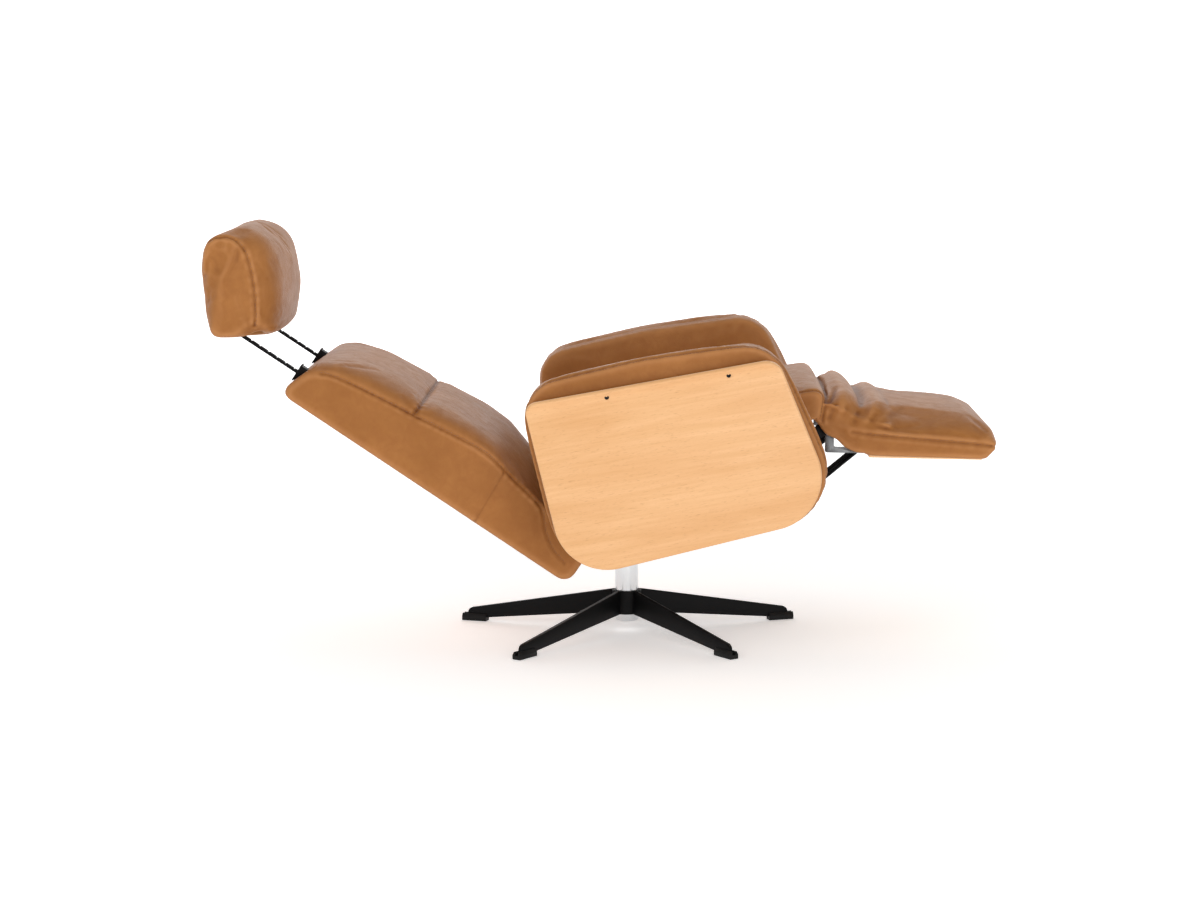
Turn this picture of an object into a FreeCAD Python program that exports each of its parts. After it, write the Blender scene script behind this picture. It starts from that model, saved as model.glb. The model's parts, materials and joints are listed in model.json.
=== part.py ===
import FreeCAD, Part
import math
import os

import Sketcher
from FreeCAD import Placement, Rotation, Vector

# Swivel recliner armchair, drawn in its reclined position: back laid down, footrest out,
# headrest pulled up. Millimetres. Origin: the column's axis on the floor.
# +X points to the footrest, +Y to the sitter's left, +Z up.

doc = FreeCAD.newDocument("recliner_armchair")
sheet = doc.addObject("Spreadsheet::Sheet", "Sizes")

SIZES = {
    # star base and column
    "column_radius": 25, "column_bore": 22, "column_foot": 22, "column_top": 215,
    "hub_radius": 31, "hub_foot": 38, "hub_top": 88, "press_gap": 0.05,
    "leg_count": 5, "leg_turn": 18, "leg_thickness": 9, "leg_reach": 365,
    "leg_root_foot": 38, "leg_tip_foot": 8, "leg_tip_top": 27, "leg_tip_round": 12,
    "glide_start": 322, "glide_length": 55, "glide_width": 21, "glide_ear": 16,
    # swivel parts
    "spindle_radius": 14, "bearing_top": 32, "bush_foot": 130, "bush_top": 213,
    "socket_foot": 218, "plate_foot": 250, "plate_thickness": 6,
    "plate_back": -50, "plate_length": 180, "plate_width": 200,
    "cheek_gap": 180, "cheek_thickness": 5, "bolt_head": 7,
    # tilting seat
    "tilt_ahead": 30, "tilt_height": 300, "tilt_lean": -10, "shaft_radius": 8, "tilt_bush_radius": 11,
    "shaft_length": 448, "rail_spacing": 469, "rail_width": 25, "rail_depth": 40, "rail_wall": 2,
    "rail_start": -150, "rail_length": 485, "rail_centre": 40, "crossbar_length": 444,
    "lug_thickness": 5, "strap_thickness": 3, "strap_width": 50, "strap_pitch": 80,
    "seat_half_width": 265, "seat_foot": 63,
    "arm_inner": 270, "arm_width": 96, "arm_round": 10, "arm_corner": 112,
    "panel_gap": 0.4, "panel_thickness": 12, "panel_bulge": 9, "panel_corner": 108, "cap_radius": 5,
    # gas spring
    "gas_foot_ahead": 110, "gas_foot_height": 265, "gas_top_ahead": 300, "gas_top_height": 30,
    "gas_tube_radius": 9, "gas_rod_radius": 4, "gas_eye_radius": 8, "gas_eye_width": 15, "gas_pin_radius": 5,
    # back
    "back_hinge_ahead": -135, "back_hinge_height": 40, "back_lean": -56, "hinge_pin_radius": 6,
    "back_half_width": 255, "shell_wall": 6, "back_rear": -152, "back_foot": -95, "back_head": 616,
    "back_seam": 364, "back_tube": 25, "back_tube_spacing": 405, "back_tube_foot": -60,
    "back_tube_length": 620, "back_tube_ahead": -117.5, "cushion_half_width": 246,
    # headrest and its two notched rods
    "rod_spacing": 330, "rod_ahead": -98.5, "rod_depth": 6.5, "rod_width": 12, "rod_foot": 400,
    "rod_length": 390, "notch_radius": 1.8, "notch_pitch": 21, "notch_count": 15,
    "headrest_hinge_ahead": -94, "headrest_hinge_height": 783, "headrest_lean": -4,
    "headrest_bar_radius": 5.5, "headrest_half_width": 215, "headrest_round": 14,
    # footrest and its linkage
    "footrest_hinge_ahead": 413.6, "footrest_hinge_height": 99.7, "footrest_lean": 1.5,
    "footrest_half_width": 250, "link_thickness": 4, "link_pin_radius": 5,
    "side_plate_centre": 220, "bar_centre": 214, "strut_centre": 208,
    "bar_pin_ahead": 54, "bar_pin_height": -53, "strut_length": 150, "strut_half_width": 8,
    "strut_lean": 219.3, "slot_half_width": 6.2,
    "footrest_travel": 75, "strut_travel": -68.6,
}
for row, (alias, value) in enumerate(SIZES.items(), start=1):
    sheet.set(f"A{row}", alias)
    sheet.set(f"B{row}", str(value))
    sheet.setAlias(f"B{row}", alias)
doc.recompute()

nodes = []


def mm(alias):
    """Value of one cell of the size sheet."""
    return float(sheet.get(alias))


def bind(thing, **expressions):
    """Tie properties of an object to expressions on the size sheet."""
    for name, expression in expressions.items():
        thing.setExpression(name.replace("__", "."), expression)


def keep(thing, label, frame=None, turn=0.0, at=(0, 0, 0)):
    """Make an object a sub-part: give it its label and its place in a frame."""
    thing.Label = label
    own = Placement(Vector(*at), Rotation(Vector(0, 0, 1), turn))
    thing.Placement = (frame or Placement()).multiply(own)
    nodes.append(thing)
    return thing


def frame_at(point, lean):
    """A frame on the chair's centre plane, leaning about the Y axis by lean degrees."""
    return Placement(point, Rotation(Vector(0, 1, 0), lean))


# ---------------------------------------------------------------- sketches and bodies

def rounded(corners):
    """Closed outline through (x, y, radius) corners, each rounded by a tangent arc."""
    count = len(corners)
    tangents = []
    for i, (x, y, radius) in enumerate(corners):
        here = Vector(x, y, 0)
        before = (Vector(*corners[i - 1][:2], 0) - here).normalize()
        after = (Vector(*corners[(i + 1) % count][:2], 0) - here).normalize()
        if radius == 0:
            tangents.append((here, None, here))
            continue
        half = before.getAngle(after) / 2
        reach = radius / math.tan(half)
        inward = (before + after).normalize()
        middle = here + inward * (radius / math.sin(half) - radius)
        tangents.append((here + before * reach, middle, here + after * reach))
    edges = []
    for i, (start, middle, end) in enumerate(tangents):
        if middle is not None:
            edges.append(Part.Arc(start, middle, end))
        edges.append(Part.LineSegment(end, tangents[(i + 1) % count][0]))
    return edges


def rectangle(width, height, x=0.0, y=0.0):
    """Closed rectangle centred on (x, y)."""
    left, right, low, high = x - width / 2, x + width / 2, y - height / 2, y + height / 2
    return rounded([(left, low, 0), (right, low, 0), (right, high, 0), (left, high, 0)])


def sketch_on(body, plane, edges=(), circles=()):
    """Sketch on one of the body's own planes; circles are (x, y, radius expression)."""
    sketch = body.newObject("Sketcher::SketchObject", body.Name + "_sketch")
    support = [item for item in body.Origin.OriginFeatures if item.Role == plane][0]
    sketch.AttachmentSupport = [(support, "")]
    sketch.MapMode = "FlatFace"
    for edge in edges:
        sketch.addGeometry(edge)
    for x, y, radius in circles:
        index = sketch.addGeometry(Part.Circle(Vector(x, y, 0), Vector(0, 0, 1), 1))
        rule = sketch.addConstraint(Sketcher.Constraint("Radius", index, 1))
        sketch.setExpression(f"Constraints[{rule}]", radius)
    return sketch


def pad(body, sketch, length, symmetric=True):
    """Pad a sketch by a length expression, to both sides of its plane or to one."""
    feature = body.newObject("PartDesign::Pad", body.Name + "_pad")
    feature.Profile = sketch
    feature.SideType = "Symmetric" if symmetric else "One side"
    bind(feature, Length=length)
    sketch.Visibility = False
    return feature


def pocket(body, sketch, length=None):
    """Cut a sketch out of the body to both sides of its plane, and prove that it cut."""
    doc.recompute()
    before = body.Shape.Volume
    feature = body.newObject("PartDesign::Pocket", body.Name + "_pocket")
    feature.Profile = sketch
    feature.SideType = "Symmetric"
    if length is None:
        feature.Type = "ThroughAll"
    else:
        bind(feature, Length=length)
    doc.recompute()
    if body.Shape.Volume >= before - 1e-3:
        raise RuntimeError(f"pocket in {body.Label} cut nothing")
    return feature


def plate(name, plane, edges, length, circles=(), symmetric=True):
    """A PartDesign body padded from one sketch, with round holes."""
    body = doc.addObject("PartDesign::Body", name)
    pad(body, sketch_on(body, plane, edges, circles), length, symmetric)
    return body


def soften(body, radius, wanted=lambda edge: True):
    """Fillet the body's edges for which wanted(edge) is true."""
    doc.recompute()
    sharp = body.Tip
    names = [f"Edge{i}" for i, edge in enumerate(sharp.Shape.Edges, start=1) if wanted(edge)]
    feature = body.newObject("PartDesign::Fillet", body.Name + "_fillet")
    feature.Base = (sharp, names)
    bind(feature, Radius=radius)
    body.Tip = feature
    return body


def lies_at_side(edge):
    """True for an edge that lies in one plane of constant Y, off the centre plane."""
    box = edge.BoundBox
    return box.YLength < 1e-6 and abs(box.YMin) > 1


# ---------------------------------------------------------------- plain pieces

def cylinder(radius, height, centre, axis="z", name="round_bar"):
    """Part::Cylinder centred on a point, along x, y or z, sized by expressions."""
    bar = doc.addObject("Part::Cylinder", name)
    bind(bar, Radius=radius, Height=height)
    doc.recompute()
    turn = {"x": Rotation(Vector(0, 1, 0), 90), "y": Rotation(Vector(1, 0, 0), -90), "z": Rotation()}[axis]
    start = turn.multVec(Vector(0, 0, -bar.Height.Value / 2))
    bar.Placement = Placement(Vector(*centre) + start, turn)
    return bar


def block(length, width, height, centre, name="flat_bar"):
    """Part::Box centred on a point, sized by expressions."""
    bar = doc.addObject("Part::Box", name)
    bind(bar, Length=length, Width=width, Height=height)
    doc.recompute()
    half = Vector(bar.Length.Value, bar.Width.Value, bar.Height.Value) / 2
    bar.Placement.Base = Vector(*centre) - half
    return bar


def cut(base, tool, name="cut_piece"):
    """Base without tool."""
    piece = doc.addObject("Part::Cut", name)
    piece.Base = base
    piece.Tool = tool
    return piece


def fuse(pieces, name="fused_piece"):
    """One solid from several that meet."""
    piece = doc.addObject("Part::MultiFuse", name)
    piece.Shapes = pieces
    return piece


def group(pieces, name="piece_group"):
    """Separate solids that share one node."""
    compound = doc.addObject("Part::Compound", name)
    compound.Links = pieces
    return compound


def ring(outer, inner, height, centre, axis="z"):
    """A bush or collar: a cylinder with a bore."""
    return cut(cylinder(outer, height, centre, axis), cylinder(inner, height, centre, axis), "ring")


SIDES = {"left": 1, "right": -1}
MM = "Sizes."


# ---------------------------------------------------------------- star base

def revolve(name, outline):
    """A PartDesign body turned about the Z axis from a half section in XZ."""
    body = doc.addObject("PartDesign::Body", name)
    sketch = sketch_on(body, "XZ_Plane", rounded(outline))
    feature = body.newObject("PartDesign::Revolution", name + "_turn")
    feature.Profile = sketch
    feature.ReferenceAxis = (sketch, ["V_Axis"])
    bind(feature, Angle="360")
    return body


def build_base():
    inner = mm("column_radius") + mm("press_gap")
    outer, foot, top = mm("hub_radius"), mm("hub_foot"), mm("hub_top")
    keep(revolve("hub", [(inner, foot, 0), (outer, foot, 0), (outer, top, 1.5), (inner, top, 0)]), "base_hub")

    reach, tip_foot, tip_top = mm("leg_reach"), mm("leg_tip_foot"), mm("leg_tip_top")
    glide_start = mm("glide_start")
    blade = [
        (10, mm("leg_root_foot"), 0), (outer, mm("leg_root_foot"), 0), (glide_start, tip_foot, 0),
        (reach, tip_foot, 0), (reach, tip_top, mm("leg_tip_round")), (outer, top, 0), (10, top, 0),
    ]
    for number in range(1, int(mm("leg_count")) + 1):
        leg = plate(f"leg_{number}", "XZ_Plane", rounded(blade), MM + "leg_thickness")
        pocket(leg, sketch_on(leg, "XY_Plane", circles=[(0, 0, MM + "hub_radius")]))
        turn = mm("leg_turn") + (number - 1) * 360 / mm("leg_count")
        keep(leg, f"base_leg_{number}", turn=turn)

    # A glide is a channel that clips over the blade's lower edge.
    half, web, ear = mm("glide_width") / 2, mm("leg_thickness") / 2 + mm("press_gap"), mm("glide_ear")
    channel = [
        (-half, 0, 1.5), (half, 0, 1.5), (half, ear - 7, 3), (web + 2, ear, 1), (web, ear, 0),
        (web, tip_foot, 0), (-web, tip_foot, 0), (-web, ear, 0), (-web - 2, ear, 1), (-half, ear - 7, 3),
    ]
    glides = []
    for number in range(int(mm("leg_count"))):
        glide = plate(f"glide_{number}", "YZ_Plane", rounded(channel), MM + "glide_length", symmetric=False)
        turn = mm("leg_turn") + number * 360 / mm("leg_count")
        along = Rotation(Vector(0, 0, 1), turn)
        glide.Placement = Placement(along.multVec(Vector(glide_start, 0, 0)), along)
        glides.append(glide)
    keep(group(glides), "base_glides")

    radius, bore = mm("column_radius"), mm("column_bore")
    low, high, floor = mm("column_foot"), mm("column_top"), 4
    tube = [
        (8, low, 0), (radius, low, 1.5), (radius, high, 1), (bore, high, 0),
        (bore, low + floor, 0), (8, low + floor, 0),
    ]
    keep(revolve("tube", tube), "column_tube")
    length = MM + "bush_top - Sizes.bush_foot"
    middle = (mm("bush_foot") + mm("bush_top")) / 2
    bush = ring(MM + "column_bore - Sizes.press_gap", MM + "spindle_radius + Sizes.press_gap", length,
                (0, 0, middle))
    keep(bush, "column_bush")
    thickness = mm("bearing_top") - low - floor
    washer = ring(MM + "column_bore - 0.5", MM + "hinge_pin_radius", f"{thickness}",
                  (0, 0, low + floor + thickness / 2))
    keep(washer, "thrust_bearing")


# ---------------------------------------------------------------- swivelling turret

def build_turret():
    radius, plate_foot = MM + "spindle_radius", mm("plate_foot")
    start = mm("bearing_top") + mm("press_gap")
    length = plate_foot - start
    spindle = cylinder(radius, f"{length}", (0, 0, start + length / 2), name="spindle_bar")
    keep(group([spindle]), "spindle")

    deck = mm("plate_foot") + mm("plate_thickness")
    base_plate = block(MM + "plate_length", MM + "plate_width", MM + "plate_thickness",
                       (mm("plate_back") + mm("plate_length") / 2, 0, deck - mm("plate_thickness") / 2))
    height = MM + "plate_foot - Sizes.socket_foot"
    socket = ring(MM + "column_bore", MM + "spindle_radius + Sizes.press_gap", height,
                  (0, 0, (plate_foot + mm("socket_foot")) / 2))
    keep(fuse([base_plate, socket]), "swivel_plate")

    # Two cheeks carry the tilt shaft in plastic bushes.
    ahead, high = mm("tilt_ahead"), mm("tilt_height")
    back, front = mm("plate_back") + 4, mm("plate_back") + mm("plate_length") - 4
    cheek_outline = [
        (back, deck, 0), (front, deck, 0), (front, deck + 18, 8), (ahead + 22, high + 20, 18),
        (ahead - 22, high + 20, 18), (back, deck + 24, 8),
    ]
    bushes = []
    for side, sign in SIDES.items():
        middle = sign * (mm("cheek_gap") / 2 + mm("cheek_thickness") / 2)
        cheek = plate(f"cheek_{side}", "XZ_Plane", rounded(cheek_outline), MM + "cheek_thickness",
                      [(ahead, high, MM + "tilt_bush_radius")])
        keep(cheek, f"mechanism_cheek_{side}", at=(0, middle, 0))
        bushes.append(ring(MM + "tilt_bush_radius", MM + "shaft_radius + Sizes.press_gap",
                           MM + "cheek_thickness + 3", (ahead, middle, high), "y"))
    keep(group(bushes), "tilt_bushes")

    foot_x, foot_z = mm("gas_foot_ahead"), mm("gas_foot_height")
    ears = [block("24", "4", f"{foot_z + 9 - deck}", (foot_x, sign * 12, (foot_z + 9 + deck) / 2))
            for sign in SIDES.values()]
    pin = cylinder(MM + "gas_pin_radius", "28", (foot_x, 0, foot_z), "y")
    keep(fuse(ears + [pin]), "gas_lower_bracket")

    bolts = []
    for x in (back + 14, front - 14):
        for sign in SIDES.values():
            head = cylinder(MM + "bolt_head", "5", (x, sign * 70, deck + 2.5))
            nut = cylinder(MM + "bolt_head", "5", (x, sign * 70, plate_foot - 2.5))
            bolts += [head, nut]
    keep(group(bolts), "plate_bolts")


# ---------------------------------------------------------------- gas spring

def build_gas_spring(seat_frame):
    foot = Vector(mm("gas_foot_ahead"), 0, mm("gas_foot_height"))
    top = seat_frame.multVec(Vector(mm("gas_top_ahead"), 0, mm("gas_top_height")))
    span = top - foot
    frame = frame_at(foot, -math.degrees(math.atan2(span.z, span.x)))
    tube_end, wall = 135, 1.5
    radius, rod = MM + "gas_tube_radius", MM + "gas_rod_radius"
    eye, eye_width = MM + "gas_eye_radius", MM + "gas_eye_width"
    barrel = cylinder(radius, f"{tube_end - 6}", ((tube_end + 6) / 2, 0, 0), "x")
    lower_eye = cylinder(eye, eye_width, (0, 0, 0), "y")
    bore = cylinder(radius + f" - {wall}", "117", (14 + 58.5, 0, 0), "x")
    mouth = cylinder(rod + " + Sizes.press_gap", "6", (tube_end - 2, 0, 0), "x")
    pin_hole = cylinder(MM + "gas_pin_radius + Sizes.press_gap", "18", (0, 0, 0), "y")
    body = cut(fuse([barrel, lower_eye]), fuse([bore, mouth, pin_hole], "hollows"))
    keep(body, "gas_cylinder", frame)

    reach = span.Length
    stem = cylinder(rod, f"{reach - 66}", ((reach + 54) / 2, 0, 0), "x")
    piston = cylinder(radius + f" - {wall} - 0.1", "8", (58, 0, 0), "x")
    upper_eye = cylinder(eye, eye_width, (reach, 0, 0), "y")
    # The upper eye is wide on its pin, because it takes up the play of the closed linkage.
    eye_hole = cylinder(MM + "gas_pin_radius + 1", "18", (reach, 0, 0), "y")
    keep(cut(fuse([stem, piston, upper_eye]), eye_hole), "gas_rod", frame)
    return foot, span


# ---------------------------------------------------------------- seat frame, cushions and arms

def build_seat_frame(frame):
    shaft = cylinder(MM + "shaft_radius", MM + "shaft_length", (0, 0, 0), "y")
    keep(group([shaft]), "tilt_shaft", frame)

    width, depth, wall = mm("rail_width"), mm("rail_depth"), mm("rail_wall")
    start, centre = mm("rail_start"), mm("rail_centre")
    section = rectangle(width, depth) + rectangle(width - 2 * wall, depth - 2 * wall)
    for side, sign in SIDES.items():
        rail = plate(f"rail_{side}", "YZ_Plane", section, MM + "rail_length", symmetric=False)
        pin_hole = (mm("back_hinge_ahead") - start, mm("back_hinge_height") - centre, MM + "hinge_pin_radius")
        pocket(rail, sketch_on(rail, "XZ_Plane", circles=[pin_hole]))
        keep(rail, f"seat_rail_{side}", frame, at=(start, sign * mm("rail_spacing") / 2, centre))

    top = centre + depth / 2
    # The front bar ends at the footrest's side plates, the rear one at the rails.
    front = block("25", MM + "crossbar_length - 2 * Sizes.link_thickness", "20", (307.5, 0, top - 10))
    rear = block("25", MM + "crossbar_length", MM + "rail_depth", (-92.5, 0, centre))
    keep(group([front, rear]), "seat_crossbars", frame)

    inner_face = mm("rail_spacing") / 2 - width / 2
    lug_outline = rounded([(-34, top - 2, 2), (-18, -18, 17), (18, -18, 17), (34, top - 2, 2)])
    lugs = []
    for side, sign in SIDES.items():
        lug = plate(f"lug_{side}", "XZ_Plane", lug_outline, MM + "lug_thickness",
                    [(0, 0, MM + "shaft_radius + Sizes.press_gap")])
        lug.Placement.Base.y = sign * (inner_face - mm("lug_thickness") / 2)
        lugs.append(lug)
    keep(group(lugs), "tilt_lugs", frame)

    straps = [block("425", MM + "strap_width", MM + "strap_thickness",
                    (107.5, number * mm("strap_pitch"), top + mm("strap_thickness") / 2))
              for number in range(-2, 3)]
    keep(group(straps), "seat_straps", frame)

    x, z = mm("gas_top_ahead"), mm("gas_top_height")
    ears = [block("20", "4", f"{top - 20 - z + 10}", (x, sign * 12, (top - 20 + z - 10) / 2))
            for sign in SIDES.values()]
    keep(fuse(ears + [cylinder(MM + "gas_pin_radius", "28", (x, 0, z), "y")]), "gas_upper_bracket", frame)

    brackets = []
    gap = mm("arm_inner") - mm("rail_spacing") / 2 - width / 2
    for sign in SIDES.values():
        for x in (-70, 250):
            brackets.append(block("50", f"{gap}", "28", (x, sign * (mm("arm_inner") - gap / 2), centre)))
    keep(group(brackets), "arm_brackets", frame)

    pins = [cylinder(MM + "hinge_pin_radius", "35",
                     (mm("back_hinge_ahead"), sign * 229.5, mm("back_hinge_height")), "y")
            for sign in SIDES.values()]
    keep(group(pins), "back_hinge_pins", frame)


def build_seat_cushions(frame):
    foot = mm("seat_foot")
    seat = plate("seat", "XZ_Plane",
                 rounded([(-156, foot, 10), (318, foot, 0), (318, 187, 0), (200, 187, 60), (-158, 156, 24)]),
                 "2 * Sizes.seat_half_width")
    keep(seat, "seat_cushion", frame)
    roll = plate("roll", "XZ_Plane",
                 rounded([(318, 116, 0), (399, 116, 6), (416, 150, 30), (424, 188, 18), (318, 187, 0)]),
                 "2 * Sizes.seat_half_width")
    keep(roll, "seat_front_roll", frame)


def build_arms(frame):
    corner = mm("arm_corner")
    leather = rounded([(-171, -101, corner), (424, -64, corner), (327, 310, 85), (-197, 310, 65)])
    corner = mm("panel_corner")
    wood = rounded([(-162, -97, corner), (398.7, -60, corner), (327.5, 272, 36), (-185, 272, 24)])
    outer = mm("arm_inner") + mm("arm_width")
    for side, sign in SIDES.items():
        arm = plate(f"arm_{side}", "XZ_Plane", leather, MM + "arm_width")
        soften(arm, MM + "arm_round", lies_at_side)
        keep(arm, f"arm_{side}", frame, at=(0, sign * (mm("arm_inner") + mm("arm_width") / 2), 0))

        # The moulded side panel: its outline, kept only inside a gently bowed sheet.
        low, high, middle = -120, 300, 90
        face, bulge, thick = outer + mm("panel_gap"), mm("panel_bulge"), mm("panel_thickness")
        bowed = [
            Part.Arc(Vector(sign * face, low, 0), Vector(sign * (face + bulge), middle, 0),
                     Vector(sign * face, high, 0)),
            Part.LineSegment(Vector(sign * face, high, 0), Vector(sign * (face + thick), high, 0)),
            Part.Arc(Vector(sign * (face + thick), high, 0), Vector(sign * (face + thick + bulge), middle, 0),
                     Vector(sign * (face + thick), low, 0)),
            Part.LineSegment(Vector(sign * (face + thick), low, 0), Vector(sign * face, low, 0)),
        ]
        sheet_body = plate(f"bowed_sheet_{side}", "YZ_Plane", bowed, "1200")
        outline_body = plate(f"panel_outline_{side}", "XZ_Plane", wood, "1000")
        panel = doc.addObject("Part::Common", f"panel_{side}")
        panel.Base = outline_body
        panel.Tool = sheet_body
        keep(panel, f"side_panel_{side}", frame)

    # Small caps over the screws near each panel's upper edge.
    caps = []
    for sign in SIDES.values():
        for x in (-18, 227):
            face = outer + mm("panel_gap") + mm("panel_thickness") + mm("panel_bulge") * 0.42
            caps.append(cylinder(MM + "cap_radius", "1.5", (x, sign * (face + 0.75), 257), "y"))
    keep(group(caps), "panel_caps", frame)


# ---------------------------------------------------------------- footrest

def slot_centres(seat_frame, foot_frame):
    """Centres of the strut's lower pin, in the seat's frame, from reclined to upright."""
    inward = seat_frame.inverse()
    hinge = Vector(mm("footrest_hinge_ahead"), 0, mm("footrest_hinge_height"))
    strut_pin = inward.multVec(foot_frame.multVec(Vector(mm("bar_pin_ahead"), 0, mm("bar_pin_height"))))
    lean = math.radians(mm("strut_lean") + mm("tilt_lean"))
    foot = strut_pin + Vector(math.cos(lean), 0, math.sin(lean)) * mm("strut_length")
    centres = []
    for part in (0, 0.5, 1):
        about_pin = Rotation(Vector(0, 1, 0), mm("strut_travel") * part)
        about_hinge = Rotation(Vector(0, 1, 0), mm("footrest_travel") * part)
        point = strut_pin + about_pin.multVec(foot - strut_pin)
        centres.append(hinge + about_hinge.multVec(point - hinge))
    return centres


def curved_slot(body, centres, half_width):
    """Cut a slot of constant width along the arc through three centres."""
    flat = [Vector(p.x, p.z, 0) for p in centres]
    hub = Part.Circle(*flat).Center
    ends = []
    for point in (flat[0], flat[2]):
        out = (point - hub).normalize() * half_width
        ends.append((point - out, point + out))
    middle = (flat[1] - hub).normalize() * half_width
    beyond = []
    for point, other in ((flat[0], flat[2]), (flat[2], flat[0])):
        out = (point - hub).normalize()
        along = Vector(-out.y, out.x, 0)
        if along.dot(other - point) > 0:
            along = along * -1
        beyond.append(point + along * half_width)
    edges = [
        Part.Arc(ends[0][0], flat[1] - middle, ends[1][0]), Part.Arc(ends[1][0], beyond[1], ends[1][1]),
        Part.Arc(ends[1][1], flat[1] + middle, ends[0][1]), Part.Arc(ends[0][1], beyond[0], ends[0][0]),
    ]
    return pocket(body, sketch_on(body, "XZ_Plane", edges))


def build_footrest(seat_frame, foot_frame):
    hinge_x, hinge_z = mm("footrest_hinge_ahead"), mm("footrest_hinge_height")
    centres = slot_centres(seat_frame, foot_frame)
    side_plate = rounded([
        (205, 50, 2), (312, 58, 6), (hinge_x - 12, hinge_z + 12, 11), (hinge_x + 12, hinge_z + 12, 11),
        (hinge_x + 12, hinge_z - 9, 10), (358, 60, 4), (341, 48, 6), (341, -50, 12), (300, -60, 20),
        (210, -34, 12),
    ])
    hinge_pins = []
    for side, sign in SIDES.items():
        cheek = plate(f"footrest_plate_{side}", "XZ_Plane", side_plate, MM + "link_thickness",
                      [(hinge_x, hinge_z, MM + "link_pin_radius")])
        curved_slot(cheek, centres, mm("slot_half_width"))
        keep(cheek, f"footrest_side_plate_{side}", seat_frame, at=(0, sign * mm("side_plate_centre"), 0))
        hinge_pins.append(cylinder(MM + "link_pin_radius", "14", (hinge_x, sign * 217, hinge_z), "y"))
    keep(group(hinge_pins), "footrest_hinge_pins", seat_frame)

    gusset = plate("gusset", "XZ_Plane", rounded([(6, -20, 4), (46, -16, 4), (46, 30, 10), (6, 46, 10)]), "408")
    keep(gusset, "footrest_gusset", foot_frame)

    pin_x, pin_z = mm("bar_pin_ahead"), mm("bar_pin_height")
    bar_outline = rounded([(-9, 9, 8.5), (-9, pin_z - 6, 5), (150, pin_z - 6, 2), (150, pin_z + 6, 2),
                           (9, pin_z + 6, 4), (9, 9, 8.5)])
    bars = []
    for side, sign in SIDES.items():
        bar = plate(f"bar_{side}", "XZ_Plane", bar_outline, MM + "link_thickness",
                    [(0, 0, MM + "link_pin_radius + Sizes.press_gap"), (pin_x, pin_z, MM + "link_pin_radius - 1")])
        bar.Placement.Base.y = sign * mm("bar_centre")
        bars.append(bar)
    keep(group(bars), "footrest_bars", foot_frame)
    pins = [cylinder(MM + "link_pin_radius - 1", "12", (pin_x, sign * 211, pin_z), "y") for sign in SIDES.values()]
    keep(group(pins), "strut_pivot_pins", foot_frame)

    board_top = pin_z - 6
    board = block("230", "470", "6", (195, 0, board_top - 3))
    keep(group([board]), "footrest_board", foot_frame)
    pad_outline = rounded([(50, -42, 8), (72, -42, 0), (72, board_top, 0), (318, board_top, 6),
                           (346, -40, 14), (334, 0, 14), (283, 11, 40), (134, 22, 60), (56, 24, 14)])
    cushion = plate("footrest_pad", "XZ_Plane", pad_outline, "2 * Sizes.footrest_half_width")
    for sign in SIDES.values():
        groove = rectangle(6, 14, sign * mm("bar_centre"), board_top + 6)
        slot = sketch_on(cushion, "YZ_Plane", groove)
        pocket(cushion, slot, "302")
    keep(cushion, "footrest_cushion", foot_frame)


def build_strut(foot_frame):
    """Two links from the footrest bars down to the curved slots; drawn along their own X."""
    pin = foot_frame.multVec(Vector(mm("bar_pin_ahead"), 0, mm("bar_pin_height")))
    frame = frame_at(pin, -mm("strut_lean"))
    length, half = mm("strut_length"), mm("strut_half_width")
    outline = rounded([(-half, -half, half - 0.2), (length + half, -half, half - 0.2),
                       (length + half, half, half - 0.2), (-half, half, half - 0.2)])
    links, pins = [], []
    for side, sign in SIDES.items():
        link = plate(f"link_{side}", "XZ_Plane", outline, MM + "link_thickness",
                     [(0, 0, MM + "link_pin_radius - 1 + Sizes.press_gap"), (length, 0, MM + "link_pin_radius")])
        link.Placement.Base.y = sign * mm("strut_centre")
        links.append(link)
        shank = cylinder(MM + "link_pin_radius", "19", (length, sign * 215.5, 0), "y")
        head = cylinder(MM + "link_pin_radius + 3.5", "3", (length, sign * 224, 0), "y")
        pins.append(fuse([shank, head]))
    keep(group(links), "footrest_struts", frame)
    keep(group(pins), "strut_slot_pins", frame)


# ---------------------------------------------------------------- back

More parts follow.
